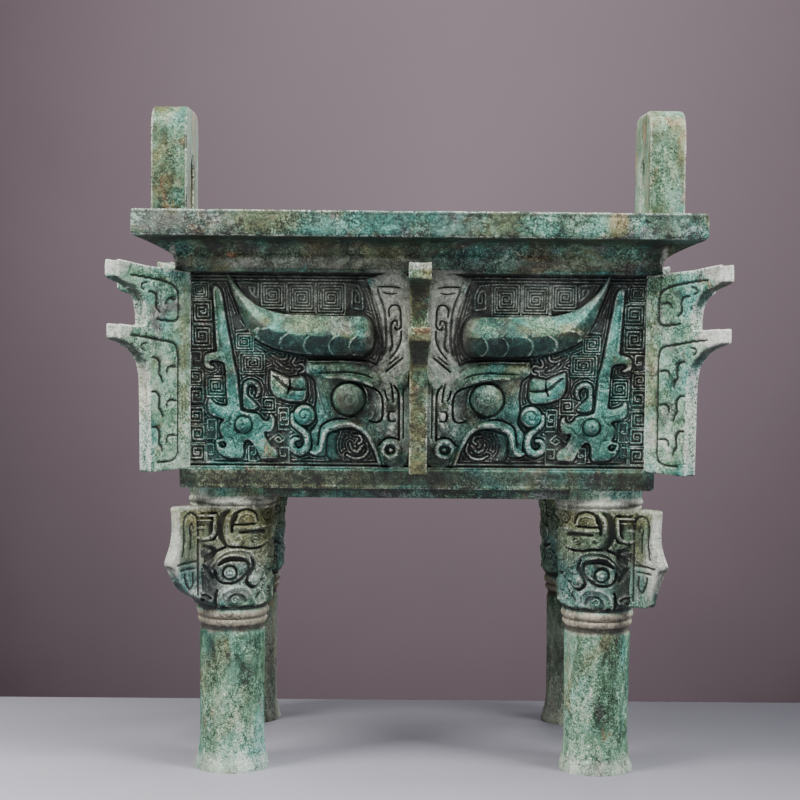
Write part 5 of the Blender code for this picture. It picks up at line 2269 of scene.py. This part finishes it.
@dataclass
class Ding:
    """Every piece of the ding, each in its own shade of the patina."""

    wall: Patina = Patina(
        "bronze_walls", lift=-0.01, turquoise=0.6, ashen=0.85, crust=0.2, contrast=0.85, depth=0.82,
        stains=(
            Stain(TEAL, (-82, -72, 158), (16, 14, 26), 0.75),
            Stain(TEAL, (82, -72, 162), (14, 14, 24), 0.6),
            Stain(TEAL, (-46, -72, 156), (14, 14, 16), 0.7),
            Stain(TEAL, (46, -72, 158), (16, 14, 14), 0.6),
            Stain(TEAL, (-50, -72, 194), (34, 14, 6), 0.7),
            Stain(TEAL, (52, -72, 194), (30, 14, 6), 0.6),
            Stain(OLIVE, (-52, -72, 204), (12, 14, 6), 0.55),
            Stain(ASH, (-34, -72, 203), (7, 14, 5), 0.5),
            Stain(CHALK, (-12, -72, 206), (11, 14, 30), 0.9),
            Stain(CHALK, (12, -72, 204), (11, 14, 32), 0.9),
            Stain(ASH, (-30, -77, 170), (9, 6, 9), 0.5),
            Stain(ASH, (30, -77, 170), (9, 6, 9), 0.4),
            Stain(CHALK, (0, -72, 160), (16, 14, 14), 0.3),
            Stain(CHALK, (-50, -72, 216), (27, 14, 8), 0.4),
            Stain(CHALK, (50, -72, 216), (27, 14, 8), 0.4),
        ),
    )
    lip: Patina = Patina(
        "bronze_vessel", lift=0.0, turquoise=0.55, olive=0.45, mauve=0.4, crust=0.4,
        stains=(
            Stain(CHALK, (-119, -90, 249), (16, 9, 6), 0.45),
            Stain(ASH, (-98, -90, 246), (22, 9, 7), 0.5),
            Stain(OLIVE, (-66, -90, 249), (15, 9, 6), 0.55),
            Stain(TEAL, (-42, -90, 246), (12, 9, 6), 0.5),
            Stain(TEAL, (-14, -90, 248), (12, 9, 7), 0.35),
            Stain(ASH, (16, -90, 247), (12, 9, 7), 0.4),
            Stain(OLIVE, (37, -90, 248), (9, 9, 8), 0.6),
            Stain(TEAL, (63, -90, 247), (22, 9, 6), 0.4),
            Stain(OLIVE, (86, -90, 248), (5, 9, 7), 0.8),
            Stain(RUST, (86, -90, 250), (4, 9, 4), 0.35),
            Stain(ASH, (112, -90, 247), (14, 9, 6), 0.3),
            Stain(OLIVE, (-40, -75, 233), (50, 12, 7), 0.5),
            Stain(CHALK, (0, -75, 230), (110, 12, 3), 0.3),
            Stain(OLIVE, (60, -75, 230), (40, 12, 6), 0.5),
            Stain(TEAL, (26, -75, 232), (24, 12, 6), 0.4),
            # Painted highlight: the neck's corner edges are paler
            Stain(CHALK, (-108.4, -73, 231), (1.9, 4, 9), 0.9),
            Stain(CHALK, (108.4, -73, 231), (1.9, 4, 9), 0.9),
            Stain(RUST, (-82.5, -73, 233.5), (2.4, 4, 1.2), 1.0),
            Stain(OLIVE, (-55, -72, 134), (60, 12, 6), 0.6),
        ),
    )
    ear: Patina = Patina(
        "bronze_ears", lift=0.05, contrast=0.8, turquoise=0.4, olive=0.55, mauve=0.2, crust=0.45,
        ochre=0.3, streak=0.6,
    )
    flange: Patina = Patina(
        "bronze_flanges", lift=0.19, turquoise=0.4, olive=0.2, crust=0.8,
        stains=(
            Stain(CHALK, (132, -97, 229), (12, 12, 8), 1.0),
            Stain(CHALK, (131, -96, 201), (11, 11, 7), 1.0),
            Stain(CHALK, (-131, -96, 229), (7, 7, 5), 0.7),
            Stain(CHALK, (-130, -95, 201), (7, 7, 5), 0.7),
            Stain(TEAL, (-120, -84, 152), (7, 7, 13), 0.6),
            Stain(RUST, (-119, -82, 176), (5, 5, 14), 0.35),
            Stain(OLIVE, (106, -71, 183), (5, 5, 46), 0.6),
            Stain(OLIVE, (-106, -71, 183), (5, 5, 46), 0.6),
        ),
    )
    middle_flange: Patina = Patina(
        "bronze_middle_flange", lift=-0.01, turquoise=0.35, olive=0.7, crust=0.15, ochre=0.2,
        stains=(
            Stain(CHALK, (0, -107, 230), (9, 6, 3), 0.5),
            Stain(RUST, (2, -106, 203), (5, 6, 3), 0.7),
        ),
    )
    leg: Patina = Patina(
        "bronze_legs", lift=0.13, contrast=1.0, turquoise=0.5, olive=0.3, crust=0.22, ochre=0.15,
        streak=0.4,
        stains=(
            # Pale band at the feet: pale crust, and partly painted light thrown up from the sheet
            Stain(CHALK, (0, 0, 0), (1000, 1000, 7), 0.4),
            Stain(SOOT, (0, 0, 100), (1000, 1000, 23), 0.2),
            Stain(SOOT, (-92, -60, 100), (24, 24, 20), 0.5),
            Stain(CHALK, (0, 0, 69), (1000, 1000, 5), 0.7),
            Stain(RUST, (0, 0, 69), (1000, 1000, 5), 0.5),
            Stain(OLIVE, (0, 0, 119), (1000, 1000, 7), 0.7),
            Stain(CHALK, (0, 0, 122.8), (1000, 1000, 3), 0.6),
            Stain(OLIVE, (0, 50, 30), (1000, 30, 60), 0.4),
            Stain(CHALK, (0, 50, 22), (1000, 30, 40), 0.35),
            Stain(OLIVE, (0, 0, 108), (1000, 1000, 13), 0.5),
            Stain(ASH, (0, 0, 90), (1000, 1000, 13), 0.25),
            Stain(CHALK, (-110, -75, 106), (6, 6, 16), 0.7),
            Stain(CHALK, (110, -75, 100), (9, 9, 22), 0.9),
            Stain(CHALK, (-92, -62, 82), (16, 16, 5), 0.35),
        ),
    )

    def walls(self) -> None:
        """The half masks on all four sides."""
        finish = self.wall.build()
        short = WallMask(width=71.5, squeeze=0.775, dragon=False, triangles=42000)
        for mask, sides in (
            (WallMask(), (Side.FRONT, Side.BACK)), (short, (Side.LEFT, Side.RIGHT)),
        ):
            half = mask.build()
            for side in sides:
                for hand, label in ((-1, "left"), (1, "right")):
                    bent = half.placed(side.panel(hand, mask.width), flip=hand < 0)
                    bent.build(f"{side.name.lower()}_mask_{label}", finish)

    def vessel(self) -> None:
        """The box and its ears, the right one paler."""
        VesselShell().build().build("vessel", self.lip.build())
        ears = LoopEars()
        ear = ears.build()
        for hand, label, lift in ((-1, "left", -0.01), (1, "right", 0.2)):
            finish = replace(self.ear, name=f"bronze_ear_{label}", lift=lift).build()
            ear.placed(ears.place(hand)).build(f"ear_{label}", finish)

    def flanges(self) -> None:
        """The eight hooked flanges; the one at the front's middle is darker and browner."""
        flanges = HookedFlanges()
        pattern = flanges.pattern()
        finish, middle = self.flange.build(), self.middle_flange.build()
        for name, place in flanges.places().items():
            pattern.placed(place).build(name, middle if name == "flange_front" else finish)

    def legs(self) -> None:
        """The four legs, each with its flange."""
        leg, fins = MaskedLeg().build(), LegFlanges()
        whole, broken = fins.pattern(fins.outline), fins.pattern(fins.broken)
        finish = self.leg.build()
        for name, x, y, heading in CORNERS:
            axis = (x * SIZES.leg_x, y * SIZES.leg_y)

            def place(px: Array, py: Array, pz: Array) -> Array:
                """Turns the leg so that its flange points away from the vessel, and sets it down."""
                points = turned(coords(px, py, pz), heading)
                return points + (*axis, 0.0)

            leg.placed(place).build(f"leg_{name}", finish)
            fin = broken if name == "front_left" else whole
            fin.placed(standing(axis, heading)).build(f"leg_flange_{name}", finish)


# -------------------------------------------------------------------------------------- the studio


@dataclass
class Studio:
    """A pale sheet on a table, a mauve-grey backdrop behind it, soft lights, and the camera.

    Sizes are in metres. A light has a place, what it aims at, its size, its power in watts and its
    tint. The camera has a place, and is pitched, yawed and rolled by so many degrees.
    """

    table: float = 1.5
    sheet_back: float = 0.088
    sheet_thick: float = 0.02
    reach: float = 1.5
    bend: float = 0.25
    wall: float = 3.2
    ground: float = -0.6
    focal: float = 86.26
    shift: float = -0.0319
    camera_place: Triple = (-0.01355, -0.91874, 0.2257)
    camera_turn: Triple = (-3.005, -0.375, 0.528)
    lights: Sequence[tuple] = (
        ("key_left", (-0.98, -0.62, 1.2), (0, 0, 0.17), 0.5, 30.0, (1, 0.985, 0.96)),
        ("key_right", (0.98, -0.62, 1.2), (0, 0, 0.17), 0.5, 28.0, (0.98, 0.99, 1)),
        ("side_left", (-1.1, 0.25, 0.4), (0, 0, 0.12), 0.4, 2.2, (1, 0.99, 0.98)),
        ("side_right", (1.1, 0.25, 0.4), (0, 0, 0.12), 0.4, 4.5, (0.99, 0.99, 1)),
        ("back", (0.3, 1.2, 0.5), (0, 0, 0.17), 0.6, 3.5, (1, 1, 1)),
        ("top", (0.0, -0.45, 1.5), (0, 0, 0.2), 0.8, 9.0, (1, 1, 1)),
        ("backdrop_light", (0.15, 0.9, 1.2), (0.1, 1.5, 0.4), 0.6, 6.0, (1, 0.98, 1)),
    )
    # The sheet's shades run from dark near its back edge to pale: painted shadow
    sheet: Stops = shades((0.0, 68, 67, 76), (1.0, 202, 200, 211))
    # The backdrop's shades run from light at a middle point to dark: painted light
    paper: Stops = shades(
        (0.0, 136, 123, 130), (0.6, 119, 106, 113), (0.85, 103, 91, 97), (1.0, 86, 75, 81)
    )

    roughness: float = 0.85
    gloss: float = 0.05
    room: Sequence[float] = rgb(190, 186, 192)
    room_strength: float = 0.07

    def painted_light_finish(
        self, name: str, stops: Stops, middle: Triple, reach: Triple
    ) -> bpy.types.Material:
        """A matt finish with painted light and shade: it runs gently through its shades away from a
        point.

        Args:
            name: what it is called.
            stops: its shades, from near to far.
            middle: the point, m.
            reach: how far the last shade is along each axis, m.

        Returns:
            The material.
        """
        material = bpy.data.materials.new(name)
        material.use_nodes = True
        n = Nodes(material.node_tree)
        shader = material.node_tree.nodes["Principled BSDF"]
        where = n.add("ShaderNodeTexCoord").outputs["Object"]
        away = n.away(where, middle, reach)
        along = n.scaled(n.noise(where, 5.0, 3.0), 0.16, n.maths("ADD", away, -0.08))
        n.feed(shader.inputs["Base Color"], n.ramp(along, stops))
        shader.inputs["Roughness"].default_value = self.roughness
        shader.inputs["Specular IOR Level"].default_value = self.gloss
        return material

    def surface(self, name: str, x: Array, back: Array, up: Array, finish: object) -> None:
        """A stage surface: a profile of back and up carried along X.

        Args:
            name: what it is called.
            x: the places along X, m.
            back, up: the profile, m.
            finish: its material.
        """
        x, k = np.meshgrid(x, np.arange(len(back)))
        points = coords(x, back[k], up[k]).reshape(-1, 3)
        mesh = Skin.plain(points, [grid_faces(*x.shape)]).to_mesh(name, 1.0)
        mesh.materials.append(finish)
        obj = bpy.data.objects.new(name, mesh)
        bpy.context.scene.collection.objects.link(obj)
        obj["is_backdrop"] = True

    def build(self) -> None:
        """Makes the floor, the backdrop, the lights and the camera.

        The floor is a sheet with a squared back edge. The backdrop is a low ground that curves up
        through a quarter circle into a wall.
        """
        near, edge = -self.table, self.sheet_back
        # Painted shadow: the sheet is darkest at its back edge on the right, where the vessel's shadow
        # and the fall of the light lie, and pales towards the front and left
        grey = self.painted_light_finish("sheet_painted_shadow", self.sheet, (0.35, edge, 0), (0.8, 0.7, 100))
        # Painted light: the backdrop is lightest round a point low in its middle and darkens towards
        # its sides, top and bottom
        mauve = self.painted_light_finish("backdrop_painted_light", self.paper, (0.06, self.reach, 0.3), (0.75, 100, 0.9))
        back = np.r_[np.linspace(near, edge, 9), edge, near]
        up = np.r_[np.zeros(9), -self.sheet_thick, -self.sheet_thick]
        self.surface("floor", np.linspace(near, self.table, 9), back, up, grey)
        turn = np.radians(np.linspace(0, 90, 13))
        back = self.reach - self.bend + self.bend * np.sin(turn)
        back = np.r_[-self.reach, back, self.reach]
        up = np.r_[0, self.bend * (1 - np.cos(turn)), self.wall] + self.ground
        self.surface("backdrop", np.linspace(2 * near, 2 * self.table, 5), back, up, mauve)
        for name, place, aim, size, power, tint in self.lights:
            lamp = bpy.data.lights.new(name, "AREA")
            lamp.size, lamp.energy, lamp.color = size, power, tint
            light = bpy.data.objects.new(name, lamp)
            turn_to = (Vector(aim) - Vector(place)).to_track_quat("-Z", "Y")
            light.matrix_world = Matrix.Translation(place) @ turn_to.to_matrix().to_4x4()
            bpy.context.scene.collection.objects.link(light)
        world = bpy.data.worlds.new("soft_room")
        world.use_nodes = True
        glow = world.node_tree.nodes["Background"]
        glow.inputs["Color"].default_value = self.room
        glow.inputs["Strength"].default_value = self.room_strength
        bpy.context.scene.world = world
        self.camera()

    def camera(self) -> None:
        """Sets the camera before the vessel, a little above its middle and barely tilted."""
        lens = bpy.data.cameras.new("camera")
        lens.lens, lens.sensor_width = self.focal, 36.0
        lens.shift_y = self.shift
        lens.clip_start, lens.clip_end = 0.05, 20.0
        camera = bpy.data.objects.new("camera", lens)
        pitch, yaw, roll = np.radians(self.camera_turn)
        camera.matrix_world = (
            Matrix.Translation(self.camera_place)
            @ Matrix.Rotation(yaw, 4, "Z")
            @ Matrix.Rotation(np.pi / 2 + pitch, 4, "X")
            @ Matrix.Rotation(roll, 4, "Z")
        )
        bpy.context.scene.collection.objects.link(camera)
        bpy.context.scene.camera = camera


def main() -> None:
    """Builds the ding piece by piece, then the studio."""
    logging.basicConfig(level=logging.INFO, format="%(name)s: %(message)s")
    Studio().build()
    ding = Ding()
    for make in (ding.vessel, ding.walls, ding.flanges, ding.legs):
        make()
    total = sum(len(loop.vertices) - 2 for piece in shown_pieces() for loop in piece.data.polygons)
    LOG.info("all pieces: %d triangles", total)


if __name__ == "__main__":
    main()
